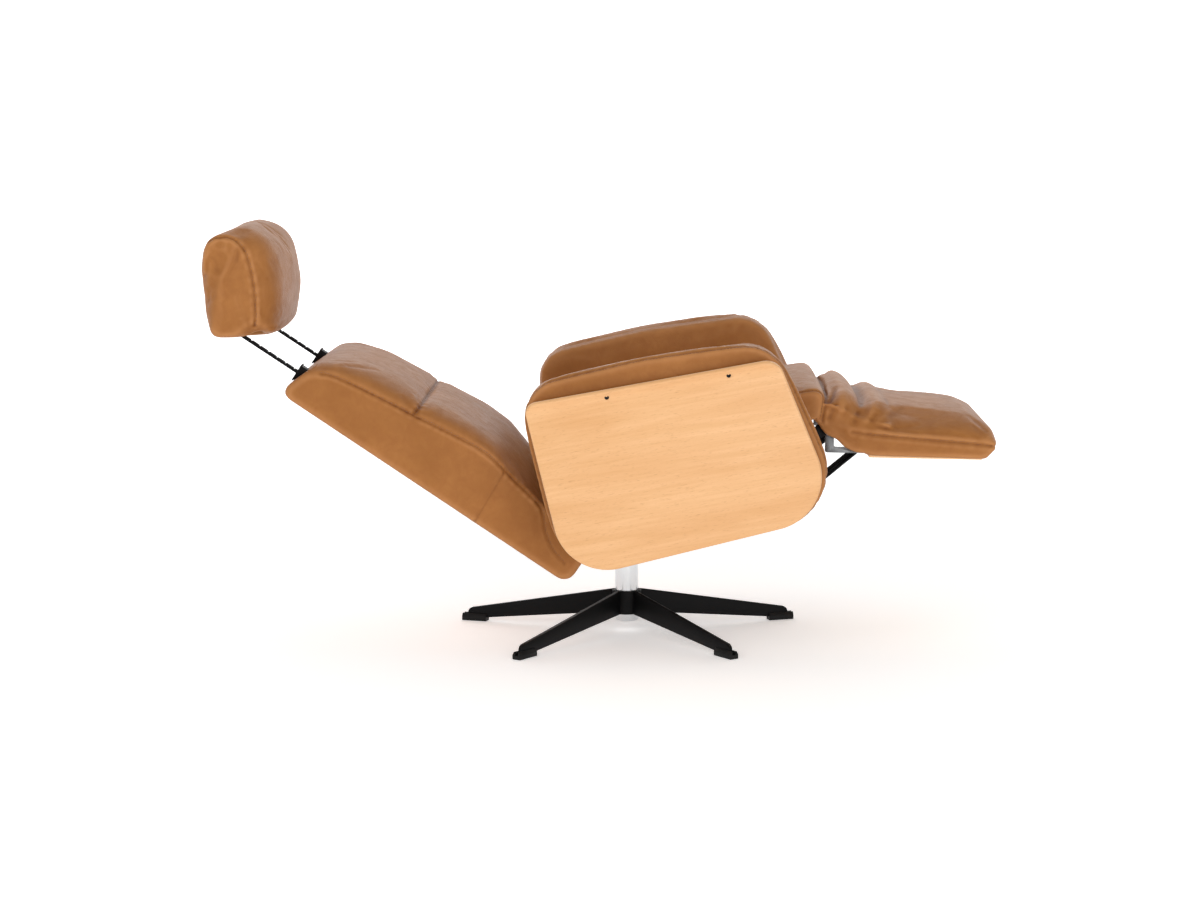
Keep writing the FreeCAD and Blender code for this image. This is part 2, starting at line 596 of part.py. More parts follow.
def build_back(frame):
    rear, foot, head = mm("back_rear"), mm("back_foot"), mm("back_head")
    wall = mm("shell_wall")
    outline = rounded([
        (rear, foot, 20), (-72, foot + 2, 22), (-36, -50, 14), (-34, 60, 20), (-12, 161, 40),
        (-10, 228, 60), (-26, 355, 60), (-46, 520, 20), (-48, head - 34, 12), (rear + 10, head, 20),
    ])
    shell = plate("shell", "XZ_Plane", outline, "2 * Sizes.back_half_width")
    hollow = rounded([
        (rear + wall, foot + wall, 14), (-74, foot + wall + 2, 18), (-44, -50, 0), (60, -50, 0),
        (60, head - 42, 0), (-50, head - 41, 6), (rear + wall + 6, head - wall - 2, 12),
    ])
    pocket(shell, sketch_on(shell, "XZ_Plane", hollow), "2 * (Sizes.back_half_width - Sizes.shell_wall)")
    # Rod holes in the shell's top wall.
    slots = []
    for sign in SIDES.values():
        slots += rectangle(34, 26, mm("rod_ahead"), sign * mm("rod_spacing") / 2)
    top_holes = sketch_on(shell, "XY_Plane", slots)
    pocket(shell, top_holes, "1400")
    keep(shell, "back_cover", frame)

    lower = rounded([(-62, 62, 4), (-30, 62, 8), (-5, 128, 40), (13, 180, 50), (16, 247, 120),
                     (4, mm("back_seam") - 1, 6), (-62, mm("back_seam") - 1, 4)])
    upper = rounded([(-62, mm("back_seam") + 1, 4), (4, mm("back_seam") + 1, 6), (-9, 492, 80),
                     (-24, 556, 20), (-54, 572, 4), (-62, 572, 4)])
    width = "2 * Sizes.cushion_half_width"
    keep(plate("pad_lower", "XZ_Plane", lower, width), "back_cushion_lower", frame)
    keep(plate("pad_upper", "XZ_Plane", upper, width), "back_cushion_upper", frame)

    # Steel frame: two side tubes and three crossbars.
    tube, wall = mm("back_tube"), mm("rail_wall")
    section = rectangle(tube, tube) + rectangle(tube - 2 * wall, tube - 2 * wall)
    for side, sign in SIDES.items():
        post = plate(f"post_{side}", "XY_Plane", section, MM + "back_tube_length", symmetric=False)
        keep(post, f"back_frame_{side}", frame,
             at=(mm("back_tube_ahead"), sign * mm("back_tube_spacing") / 2, mm("back_tube_foot")))
    span = MM + "back_tube_spacing - Sizes.back_tube"
    crossbars = [block(MM + "back_tube", span, MM + "back_tube", (mm("back_tube_ahead"), 0, z))
                 for z in (-40, 345, 530)]
    keep(group(crossbars), "back_crossbars", frame)

    tube_face = mm("back_tube_ahead") + tube / 2
    straps = [block("2", MM + "back_tube_spacing + Sizes.back_tube", "44", (tube_face + 1, 0, z))
              for z in (80, 160, 240, 320, 400)]
    keep(group(straps), "back_straps", frame)

    arm_outline = rounded([(-129, -40, 6), (15, -15, 14), (15, 15, 14), (-129, 44, 6)])
    arms = []
    for side, sign in SIDES.items():
        arm = plate(f"hinge_arm_{side}", "XZ_Plane", arm_outline, MM + "lug_thickness",
                    [(0, 0, MM + "hinge_pin_radius + Sizes.press_gap")])
        arm.Placement.Base.y = sign * (mm("back_tube_spacing") / 2 + tube / 2 + mm("lug_thickness") / 2)
        arms.append(arm)
    keep(group(arms), "back_hinge_arms", frame)

    sleeves, escutcheons = [], []
    rod_x, half_gap = mm("rod_ahead"), mm("rod_spacing") / 2
    for sign in SIDES.values():
        hole = ("Sizes.rod_depth + 0.6", "Sizes.rod_width + 0.6")
        sleeve = block("13", "20", "168", (rod_x, sign * half_gap, 514))
        sleeves.append(cut(sleeve, block(*hole, "170", (rod_x, sign * half_gap, 514))))
        plug = block("33.6", "25.6", "13.5", (rod_x, sign * half_gap, 604.75))
        flange = block("38", "30", "3", (rod_x, sign * half_gap, 613))
        escutcheons.append(cut(fuse([plug, flange]), block(*hole, "30", (rod_x, sign * half_gap, 606))))
    keep(group(sleeves), "rod_sleeves", frame)
    keep(group(escutcheons), "rod_escutcheons", frame)


# ---------------------------------------------------------------- headrest

def build_headrest(back_frame, frame):
    length, depth = mm("rod_length"), mm("rod_depth")
    for side, sign in SIDES.items():
        rod = plate(f"rod_{side}", "XY_Plane", rectangle(depth, mm("rod_width")), MM + "rod_length",
                    symmetric=False)
        first = 34
        notch = sketch_on(rod, "XZ_Plane", circles=[(depth / 2, first, MM + "notch_radius")])
        cutter = pocket(rod, notch)
        row = rod.newObject("PartDesign::LinearPattern", rod.Name + "_notches")
        row.Originals = [cutter]
        upright = [item for item in rod.Origin.OriginFeatures if item.Role == "Z_Axis"][0]
        row.Direction = (upright, [""])
        bind(row, Length="Sizes.notch_pitch * (Sizes.notch_count - 1)")
        row.Occurrences = int(mm("notch_count"))
        rod.Tip = row
        keep(rod, f"headrest_rod_{side}", back_frame,
             at=(mm("rod_ahead"), sign * mm("rod_spacing") / 2, mm("rod_foot")))
    hinge = (mm("headrest_hinge_ahead"), 0, mm("headrest_hinge_height"))
    bar = cylinder(MM + "headrest_bar_radius", "Sizes.rod_spacing - Sizes.rod_width", hinge, "y")
    keep(group([bar]), "headrest_crossbar", back_frame)

    knuckles = [cylinder("10", "30", (0, sign * 85, 0), "y") for sign in SIDES.values()]
    leaf = block("4", "220", "116", (-9, 0, 52))
    bore = cylinder(MM + "headrest_bar_radius + Sizes.press_gap", "240", (0, 0, 0), "y")
    keep(cut(fuse(knuckles + [leaf]), bore), "headrest_hinge_plate", frame)

    outline = rounded([(-40, -27, 16), (86, -27, 18), (104, 60, 90), (94, 196, 66), (-38, 196, 18)])
    pillow = plate("pillow", "XZ_Plane", outline, "2 * Sizes.headrest_half_width")
    soften(pillow, MM + "headrest_round", lies_at_side)
    channel = block("30", "346", "60", (-2, 0, -15))
    leaf_room = block("4.6", "221", "130", (-9, 0, 46))
    rod_room = [block("80", "16", "62", (24, sign * mm("rod_spacing") / 2, -16)) for sign in SIDES.values()]
    keep(cut(pillow, fuse([channel, leaf_room] + rod_room, "room")), "headrest_cushion", frame)


# ---------------------------------------------------------------- assembly

seat = frame_at(Vector(mm("tilt_ahead"), 0, mm("tilt_height")), mm("tilt_lean"))
back_hinge = seat.multVec(Vector(mm("back_hinge_ahead"), 0, mm("back_hinge_height")))
back = frame_at(back_hinge, mm("back_lean"))
headrest_hinge = back.multVec(Vector(mm("headrest_hinge_ahead"), 0, mm("headrest_hinge_height")))
headrest = frame_at(headrest_hinge, mm("headrest_lean"))
footrest_hinge = seat.multVec(Vector(mm("footrest_hinge_ahead"), 0, mm("footrest_hinge_height")))
footrest = frame_at(footrest_hinge, mm("footrest_lean"))

build_base()
build_turret()
gas_foot, gas_span = build_gas_spring(seat)
build_seat_frame(seat)
build_seat_cushions(seat)
build_arms(seat)
build_footrest(seat, footrest)
build_strut(footrest)
build_back(back)
build_headrest(back, headrest)

doc.recompute()
for thing in doc.Objects:
    if "Invalid" in thing.State or "Error" in thing.State:
        raise RuntimeError(f"{thing.Name} ({thing.Label}) did not compute: {thing.State}")
for node in nodes:
    if node.Shape.isNull() or not node.Shape.isValid() or not node.Shape.Solids:
        raise RuntimeError(f"{node.Label} has no valid solid")

os.makedirs("parts", exist_ok=True)
for node in nodes:
    node.Shape.exportStep(f"parts/{node.Label}.step")

whole = FreeCAD.BoundBox()
for node in nodes:
    whole.add(node.Shape.BoundBox)
print(len(nodes), "sub-parts; box", whole)
strut_pin = footrest.multVec(Vector(mm("bar_pin_ahead"), 0, mm("bar_pin_height")))
for name, point in (("back hinge", back_hinge), ("headrest hinge", headrest_hinge),
                    ("footrest hinge", footrest_hinge), ("strut pin", strut_pin),
                    ("gas foot", gas_foot), ("gas span", gas_span),
                    ("up the back", back.Rotation.multVec(Vector(0, 0, 1)))):
    print(name, [round(value, 4) for value in point])
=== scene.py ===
import json
import math

import bmesh
import bpy
import numpy as np
from mathutils import Matrix, Vector
from mathutils.bvhtree import BVHTree


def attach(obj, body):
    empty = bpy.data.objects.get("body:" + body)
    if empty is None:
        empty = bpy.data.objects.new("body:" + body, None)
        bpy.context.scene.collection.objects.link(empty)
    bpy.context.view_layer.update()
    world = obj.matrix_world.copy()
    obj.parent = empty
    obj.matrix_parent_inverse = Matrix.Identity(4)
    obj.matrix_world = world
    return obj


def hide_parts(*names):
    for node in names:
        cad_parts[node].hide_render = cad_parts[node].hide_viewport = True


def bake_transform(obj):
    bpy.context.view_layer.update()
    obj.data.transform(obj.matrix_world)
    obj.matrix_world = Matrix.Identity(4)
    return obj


# Swivel recliner armchair: leather cushions, curved beech side panels, black star base.
# Shapes are given in millimetres, in the leaning frame of the part that they belong to:
# +X forwards, +Y to the sitter's left, +Z up. Meshes are made in metres, in the chair's own frame.

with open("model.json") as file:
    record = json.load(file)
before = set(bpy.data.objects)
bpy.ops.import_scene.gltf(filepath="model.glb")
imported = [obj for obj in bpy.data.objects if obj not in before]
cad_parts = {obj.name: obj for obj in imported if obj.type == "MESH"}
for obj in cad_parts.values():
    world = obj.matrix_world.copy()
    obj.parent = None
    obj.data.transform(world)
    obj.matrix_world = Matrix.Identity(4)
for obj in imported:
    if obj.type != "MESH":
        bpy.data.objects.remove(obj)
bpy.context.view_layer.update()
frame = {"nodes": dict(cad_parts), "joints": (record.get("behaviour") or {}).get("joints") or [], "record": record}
joints = {joint["name"]: joint for joint in frame["joints"]}
MM = 0.001
SIDES = {"left": 1, "right": -1}
PATH_STEP = 2.0  # spacing of the points on seam and fold paths
seams = {}  # closeness to a seam, one value per vertex, by piece name


def lean_frame(joint, degrees):
    """Frame at a joint's pivot, leaning about the Y axis."""
    pivot = joints[joint]["pos_m"]
    return Matrix.Translation(pivot) @ Matrix.Rotation(math.radians(degrees), 4, "Y")


SEAT = lean_frame("seat_tilt", -10)
BACK = lean_frame("back_recline", -56)
HEAD = lean_frame("headrest_tilt", -4)
FOOT = lean_frame("footrest_fold", 1.5)


# ---------------------------------------------------------------- numbers in and out of meshes

def smooth(low, high, value):
    """0 below low, 1 above high, and a soft step between."""
    share = np.clip((value - low) / (high - low), 0, 1)
    return share * share * (3 - 2 * share)


def placed(place, points):
    """Points in mm of a leaning frame as points in metres of the chair's frame."""
    turn = np.array(place.to_3x3())
    return (np.array(points, float) * MM) @ turn.T + np.array(place.translation)


def local(place, points):
    """Points in metres of the chair's frame as points in mm of a leaning frame."""
    turn = np.array(place.to_3x3())
    return (np.array(points, float) - np.array(place.translation)) @ turn / MM


def read(piece, what="co"):
    """A mesh's vertex positions or normals as an array."""
    values = np.zeros(len(piece.data.vertices) * 3)
    if what == "co":
        piece.data.vertices.foreach_get("co", values)
    else:
        piece.data.vertex_normals.foreach_get("vector", values)
    return values.reshape(-1, 3)


def write(piece, points):
    """Moves a mesh's vertices to the given positions."""
    piece.data.vertices.foreach_set("co", np.asarray(points, float).ravel())
    piece.data.update()


def put(piece, name, values, kind="FLOAT"):
    """Stores one value per vertex for the materials to read."""
    field = "value" if kind == "FLOAT" else "vector"
    found = piece.data.attributes.get(name) or piece.data.attributes.new(name, kind, "POINT")
    found.data.foreach_set(field, np.asarray(values, np.float32).ravel())


# ---------------------------------------------------------------- closed forms

def rounded(corners, step=4.0):
    """Evenly spaced points on a closed outline with (x, z, radius) corners, and inward normals."""
    points = []
    count = len(corners)
    for number, (x, z, radius) in enumerate(corners):
        here = np.array([x, z], float)
        before = np.array(corners[number - 1][:2], float) - here
        after = np.array(corners[(number + 1) % count][:2], float) - here
        before /= np.linalg.norm(before)
        after /= np.linalg.norm(after)
        half = math.acos(np.clip(before @ after, -1, 1)) / 2
        if radius == 0 or half > math.pi / 2 - 1e-3:
            points.append(here)
            continue
        middle = here + (before + after) / np.linalg.norm(before + after) * radius / math.sin(half)
        start = here + before * radius / math.tan(half) - middle
        end = here + after * radius / math.tan(half) - middle
        first = math.atan2(start[1], start[0])
        sweep = (math.atan2(end[1], end[0]) - first + math.pi) % (2 * math.pi) - math.pi
        pieces = max(2, int(abs(sweep) * radius / step))
        for share in np.linspace(0, 1, pieces + 1):
            angle = first + sweep * share
            points.append(middle + radius * np.array([math.cos(angle), math.sin(angle)]))
    points = spaced(np.array(points + points[:1]), step)[:-1]
    ahead, behind = np.roll(points, -1, 0), np.roll(points, 1, 0)
    if (points[:, 0] * ahead[:, 1] - ahead[:, 0] * points[:, 1]).sum() < 0:
        points = points[::-1]
        ahead, behind = np.roll(points, -1, 0), np.roll(points, 1, 0)
    run = ahead - behind
    run /= np.linalg.norm(run, axis=1)[:, None]
    return points, np.stack([-run[:, 1], run[:, 0]], 1)


def spaced(points, step):
    """The same path with even spacing."""
    points = np.asarray(points, float)
    length = np.concatenate([[0], np.cumsum(np.linalg.norm(np.diff(points, axis=0), axis=1))])
    wanted = np.linspace(0, length[-1], max(2, int(round(length[-1] / step)) + 1))
    return np.stack([np.interp(wanted, length, points[:, k]) for k in range(points.shape[1])], 1)


def bent(points, step=PATH_STEP):
    """A smooth path through a few points, evenly spaced (Catmull-Rom)."""
    points = np.asarray(points, float)
    padded = np.vstack([2 * points[0] - points[1], points, 2 * points[-1] - points[-2]])
    path = []
    for number in range(len(points) - 1):
        a, b, c, d = padded[number:number + 4]
        for t in np.linspace(0, 1, 12, endpoint=False):
            path.append(0.5 * (2 * b + (c - a) * t + (2 * a - 5 * b + 4 * c - d) * t ** 2
                               + (3 * b - a - 3 * c + d) * t ** 3))
    path.append(points[-1])
    return spaced(path, step)


def rings_to_mesh(rings):
    """Vertices and faces of a tube through equal rings, closed at both ends."""
    size = len(rings[0])
    faces = []
    for row in range(len(rings) - 1):
        for i in range(size):
            j = (i + 1) % size
            faces.append((row * size + i, row * size + j, (row + 1) * size + j, (row + 1) * size + i))
    last = (len(rings) - 1) * size
    faces.append(tuple(range(size - 1, -1, -1)))
    faces.append(tuple(last + i for i in range(size)))
    return np.vstack(rings), faces


def loft(corners, half_width, edge, centre=0.0, crown=lambda x, z: 0.0, step=4.0):
    """A pad with the given outline in XZ: edge(x, z) gives how far the rounding at the pad's
    sides reaches in from the outline and along Y, and crown(x, z) how far its middle stands out."""
    ring, inward = rounded(corners, step)
    x, z = ring[:, 0], ring[:, 1]
    depth, reach = edge(x, z)
    lift = crown(x, z)
    longest = float(np.max(reach))
    level = np.linspace(0, half_width - longest, 8)[:-1]
    turning = half_width - longest + longest * np.sin(np.linspace(0, math.pi / 2, 12))
    stations = np.concatenate([level, turning])
    rings = []
    for y in np.concatenate([-stations[:0:-1], stations]):
        share = np.clip((abs(y) - (half_width - reach)) / reach, 0, 1)
        shift = depth * (1 - np.sqrt(1 - share ** 2)) - lift * (1 - (y / half_width) ** 2)
        moved = ring + inward * np.broadcast_to(shift, x.shape)[:, None]
        rings.append(np.stack([moved[:, 0], np.full(len(ring), centre + y), moved[:, 1]], 1))
    return rings_to_mesh(rings)


def joined(*forms):
    """Several closed forms as one set of vertices and faces."""
    points, faces, start = [], [], 0
    for form_points, form_faces in forms:
        points.append(form_points)
        faces += [tuple(i + start for i in face) for face in form_faces]
        start += len(form_points)
    return np.vstack(points), faces


def block(x0, x1, middle, width, z0, z1):
    """A closed box: x and z limits, middle and width along Y."""
    y0, y1 = middle - width / 2, middle + width / 2
    points = [(x, y, z) for x in (x0, x1) for y in (y0, y1) for z in (z0, z1)]
    faces = [(0, 1, 3, 2), (4, 6, 7, 5), (0, 4, 5, 1), (2, 3, 7, 6), (0, 2, 6, 4), (1, 5, 7, 3)]
    return np.array(points, float), faces


def new_piece(name, place, form):
    """A mesh object from points in mm of a leaning frame."""
    points, faces = form
    mesh = bpy.data.meshes.new(name)
    mesh.from_pydata(placed(place, points).tolist(), [], faces)
    work = bmesh.new()
    work.from_mesh(mesh)
    bmesh.ops.recalc_face_normals(work, faces=work.faces)
    work.to_mesh(mesh)
    work.free()
    piece = bpy.data.objects.new(name, mesh)
    bpy.context.scene.collection.objects.link(piece)
    return piece


def settle(piece):
    """Makes what the piece's modifiers give its own mesh."""
    graph = bpy.context.evaluated_depsgraph_get()
    made = bpy.data.meshes.new_from_object(piece.evaluated_get(graph))
    piece.modifiers.clear()
    piece.data = made


def carve(piece, place, forms):
    """Cuts closed forms out of a piece."""
    tool = new_piece("carving", place, joined(*forms))
    cutting = piece.modifiers.new("carving", "BOOLEAN")
    cutting.operation = "DIFFERENCE"
    cutting.solver = "EXACT"
    cutting.use_self = True
    cutting.object = tool
    settle(piece)
    bpy.data.objects.remove(tool)


def remesh(piece, size):
    """Gives the piece an even skin with faces of about size mm."""
    skin = piece.modifiers.new("skin", "REMESH")
    skin.mode = "VOXEL"
    skin.voxel_size = size * MM
    settle(piece)


def relax(piece, rounds):
    """Evens the surface out without shrinking it much."""
    smoothing = piece.modifiers.new("relax", "SMOOTH")
    smoothing.factor = 0.5
    smoothing.iterations = rounds
    settle(piece)


def subdivide(piece):
    """Splits each face in four and rounds the surface."""
    finer = piece.modifiers.new("finer", "SUBSURF")
    finer.levels = 1
    finer.render_levels = 1
    settle(piece)


def inflate(piece, hold, cap):
    """Fills the leather with pressure, holding it where hold is 1, and lets no point move
    further than cap mm."""
    start = read(piece)
    group = piece.vertex_groups.new(name="held")
    steps, frames = 4, 20
    for level in range(1, steps + 1):
        members = np.flatnonzero((hold > (level - 0.5) / steps) & (hold <= (level + 0.5) / steps))
        group.add(members.tolist(), level / steps, "REPLACE")
    cloth = piece.modifiers.new("leather", "CLOTH")
    rules = cloth.settings
    rules.quality = 4
    rules.mass = 0.35
    rules.tension_stiffness = 18
    rules.compression_stiffness = 18
    rules.shear_stiffness = 8
    rules.bending_stiffness = 1.2
    rules.use_pressure = True
    rules.uniform_pressure_force = 4.0
    rules.effector_weights.gravity = 0
    rules.vertex_group_mass = "held"
    cloth.collision_settings.use_collision = False
    cloth.point_cache.frame_start = 1
    cloth.point_cache.frame_end = frames
    scene = bpy.context.scene
    for number in range(1, frames + 1):
        scene.frame_set(number)
    settle(piece)
    scene.frame_set(1)
    moved = read(piece) - start
    length = np.linalg.norm(moved, axis=1)
    share = np.minimum(1, cap * MM / np.maximum(length, 1e-9))
    write(piece, start + moved * share[:, None])
    piece.vertex_groups.clear()


# ---------------------------------------------------------------- seams, folds and stitches

def nearest(points, path, reach):
    """For each point within reach mm, the distance to the closest of a path's points, and which."""
    batch = 30
    distance = np.full(len(points), 1e9)
    which = np.zeros(len(points), int)
    for start in range(0, len(path), batch):
        part = path[start:start + batch]
        low, high = part.min(0) - reach * MM, part.max(0) + reach * MM
        rows = np.flatnonzero(np.all((points > low) & (points < high), 1))
        if len(rows) == 0:
            continue
        gaps = np.linalg.norm(points[rows][:, None] - part[None], axis=2)
        closest = gaps.min(1)
        better = closest < distance[rows]
        which[rows[better]] = start + gaps.argmin(1)[better]
        distance[rows[better]] = closest[better]
    return distance / MM, which


def stroke(piece, place, points, height, width, ends=0.25):
    """Raises (or, below 0, sinks) the leather along a path by height mm, width mm to each side,
    fading over the given share of its length at both ends."""
    path = placed(place, bent(points))
    co = read(piece)
    distance, which = nearest(co, path, 3.2 * width)
    share = which / (len(path) - 1)
    fade = smooth(0, ends, share) * smooth(0, ends, 1 - share)
    rise = height * fade * np.exp(-(distance / width) ** 2)
    write(piece, co + read(piece, "normal") * (rise * MM)[:, None])


def on_surface(piece, path):
    """The path pushed onto the piece, with the surface's normals."""
    tree = BVHTree.FromObject(piece, bpy.context.evaluated_depsgraph_get())
    spots, normals = [], []
    for point in path:
        spot, normal, _, _ = tree.find_nearest(Vector(point))
        spots.append(spot)
        normals.append(normal)
    return np.array(spots), np.array(normals)


def seam(piece, place, points, depth=1.8, width=2.6, pucker=0.5, swell=0.7, smoothly=True):
    """A sewn seam: a narrow groove with the leather swelling and puckering beside it.
    It returns the path in metres, for the stitches."""
    path = placed(place, bent(points) if smoothly else spaced(points, PATH_STEP))
    path, _ = on_surface(piece, path)
    co = read(piece)
    distance, which = nearest(co, path, 12 * width)
    along = which * PATH_STEP
    seed = float(np.abs(path[0]).sum() * 7)
    rhythm = np.sin(along / 3.4 + 2.2 * np.sin(along / 31 + seed)) * (0.6 + 0.4 * np.sin(along / 47 + seed))
    groove = -depth * np.exp(-(distance / width) ** 2)
    bulge = swell * np.exp(-((distance - 3.2 * width) / (1.8 * width)) ** 2)
    gather = pucker * rhythm * np.exp(-((distance - 2 * width) / (2.6 * width)) ** 2)
    write(piece, co + read(piece, "normal") * ((groove + bulge + gather) * MM)[:, None])
    old = seams.setdefault(piece.name, np.zeros(len(co)))
    seams[piece.name] = np.maximum(old, np.exp(-(distance / (0.7 * width)) ** 2))
    return path


def stitches(name, piece, paths, offsets, body, length=4.6, gap=2.2, radius=0.42):
    """Rows of thread on a piece, offsets mm beside its seams."""
    section, rows = 6, 9
    template = []
    for row in range(rows):
        angle = math.pi * row / (rows - 1)
        along = -math.cos(angle) * length / 2
        fat = radius * (0.25 + 0.75 * math.sin(angle) ** 0.5)
        for k in range(section):
            turn = 2 * math.pi * k / section
            lift = radius * math.sin(angle) * 0.3
            template.append((along, fat * math.cos(turn), fat * math.sin(turn) + lift))
    template = np.array(template) * MM
    points, faces = [], []
    tree = BVHTree.FromObject(piece, bpy.context.evaluated_depsgraph_get())
    for path in paths:
        spots, normals = on_surface(piece, path)
        count = int(len(spots) * PATH_STEP / (length + gap))
        for offset in offsets:
            for number in range(count):
                at = min(len(spots) - 2, int((number + 0.5) * (length + gap) / PATH_STEP))
                run = spots[min(at + 2, len(spots) - 1)] - spots[max(at - 2, 0)]
                run /= max(np.linalg.norm(run), 1e-9)
                across = np.cross(normals[at], run)
                aim = Vector(spots[at] + across * offset * MM)
                spot, normal, _, _ = tree.find_nearest(aim)
                normal = np.array(normal)
                run = run - normal * (run @ normal)
                run /= max(np.linalg.norm(run), 1e-9)
                across = np.cross(normal, run)
                start = len(points) * len(template)
                points.append(np.array(spot) + template[:, :1] * run + template[:, 1:2] * across
                              + template[:, 2:3] * normal)
                for row in range(rows - 1):
                    for k in range(section):
                        j = (k + 1) % section
                        faces.append((start + row * section + k, start + row * section + j,
                                      start + (row + 1) * section + j, start + (row + 1) * section + k))
                faces.append(tuple(start + k for k in range(section - 1, -1, -1)))
                faces.append(tuple(start + (rows - 1) * section + k for k in range(section)))
    mesh = bpy.data.meshes.new(name)
    mesh.from_pydata(np.vstack(points).tolist(), [], faces)
    thread = bpy.data.objects.new(name, mesh)
    bpy.context.scene.collection.objects.link(thread)
    thread.data.shade_smooth()
    thread.data.materials.append(thread_look)
    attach(thread, body)


def finish_leather(piece, place, look, body=None):
    """Smooth shading, material fields, material, slot and body of a leather piece."""
    co = read(piece)
    normal = read(piece, "normal")
    edges = np.zeros(len(piece.data.edges) * 2, int)
    piece.data.edges.foreach_get("vertices", edges)
    edges = edges.reshape(-1, 2)
    bend = np.zeros(len(co))
    run = co[edges[:, 1]] - co[edges[:, 0]]
    size = np.maximum((run ** 2).sum(1), 1e-12)
    np.add.at(bend, edges[:, 0], -(run * normal[edges[:, 0]]).sum(1) / size)
    np.add.at(bend, edges[:, 1], (run * normal[edges[:, 1]]).sum(1) / size)
    bend /= np.maximum(np.bincount(edges.ravel(), minlength=len(co)), 1)
    for _ in range(6):
        total, count = bend.copy(), np.ones(len(co))
        np.add.at(total, edges[:, 0], bend[edges[:, 1]])
        np.add.at(total, edges[:, 1], bend[edges[:, 0]])
        np.add.at(count, edges.ravel(), 1)
        bend = total / count
    sharpest = 40  # curvature, in 1/m, that counts as a full crest
    # crest: smoothed curvature, above 0 on crests and below 0 in hollows; the leather material darkens the hollows
    # with it as painted shade
    put(piece, "crest", np.clip(bend / sharpest, -1, 1))
    # seam: closeness to a seam; the leather material darkens along it, as dirt and as painted shade in the groove
    put(piece, "seam", seams.get(piece.name, np.zeros(len(co))))
    put(piece, "spot", local(place, co) * MM, "FLOAT_VECTOR")
    piece.data.shade_smooth()
    piece.data.materials.clear()
    piece.data.materials.append(look)
    if body:
        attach(piece, body)


# ---------------------------------------------------------------- materials

class Look:
    """A procedural material built node by node."""

    def __init__(self, name, **sockets):
        self.material = bpy.data.materials.new(name)
        self.material.use_nodes = True
        self.tree = self.material.node_tree
        self.shader = self.tree.nodes["Principled BSDF"]
        for socket, value in sockets.items():
            self.shader.inputs[socket.replace("_", " ")].default_value = value

    def node(self, kind, inputs=(), **settings):
        made = self.tree.nodes.new(kind)
        for name, value in settings.items():
            setattr(made, name, value)
        for name, value in dict(inputs).items():
            if isinstance(value, bpy.types.NodeSocket):
                self.tree.links.new(value, made.inputs[name])
            else:
                made.inputs[name].default_value = value
        return made

    def place(self, attribute=None, scale=(1, 1, 1)):
        """Position in metres: a stored field, or the object's own coordinates."""
        if attribute:
            source = self.node("ShaderNodeAttribute", attribute_name=attribute).outputs["Vector"]
        else:
            source = self.node("ShaderNodeTexCoord").outputs["Object"]
        return self.node("ShaderNodeMapping", {"Vector": source, "Scale": scale}).outputs["Vector"]

    def field(self, attribute):
        return self.node("ShaderNodeAttribute", attribute_name=attribute).outputs["Fac"]

    def noise(self, vector, scale, detail=3.0, roughness=0.5, distortion=0.0):
        return self.node("ShaderNodeTexNoise", {
            "Vector": vector, "Scale": scale, "Detail": detail, "Roughness": roughness,
            "Distortion": distortion}).outputs["Fac"]

    def cells(self, vector, scale):
        """Distance to the border between cells of about 1 / scale metres."""
        return self.node("ShaderNodeTexVoronoi", {"Vector": vector, "Scale": scale},
                         feature="DISTANCE_TO_EDGE").outputs["Distance"]

    def bands(self, direction, scale, distortion=0.0, attribute=None):
        """Straight bands across one direction."""
        return self.node("ShaderNodeTexWave", {
            "Vector": self.place(attribute), "Scale": scale, "Distortion": distortion},
            bands_direction=direction).outputs["Fac"]

    def math(self, operation, a, b):
        made = self.node("ShaderNodeMath", operation=operation)
        for number, value in enumerate((a, b)):
            if isinstance(value, bpy.types.NodeSocket):
                self.tree.links.new(value, made.inputs[number])
            else:
                made.inputs[number].default_value = value
        return made.outputs["Value"]

    def between(self, value, low, high, to_low=0.0, to_high=1.0):
        return self.node("ShaderNodeMapRange", {
            "Value": value, "From Min": low, "From Max": high,
            "To Min": to_low, "To Max": to_high}).outputs["Result"]

    def mix(self, share, a, b):
        made = self.node("ShaderNodeMix", data_type="RGBA")
        for name, value in (("Factor", share), ("A", a), ("B", b)):
            found = [socket for socket in made.inputs if socket.name == name and socket.enabled][0]
            if isinstance(value, bpy.types.NodeSocket):
                self.tree.links.new(value, found)
            else:
                found.default_value = value
        return [socket for socket in made.outputs if socket.enabled][0]

    def bump(self, height, distance, strength=1.0, under=None):
        made = self.node("ShaderNodeBump", {
            "Height": height, "Distance": distance, "Strength": strength})
        if under:
            self.tree.links.new(under, made.inputs["Normal"])
        return made.outputs["Normal"]

    def feed(self, **sockets):
        for socket, value in sockets.items():
            self.tree.links.new(value, self.shader.inputs[socket.replace("_", " ")])
        return self.material


def paint(red, green, blue):
    """An 8-bit sRGB colour as the linear colour that a shader takes."""
    linear = []
    for value in (red, green, blue):
        value /= 255
        linear.append(value / 12.92 if value <= 0.04045 else ((value + 0.055) / 1.055) ** 2.4)
    return (*linear, 1.0)


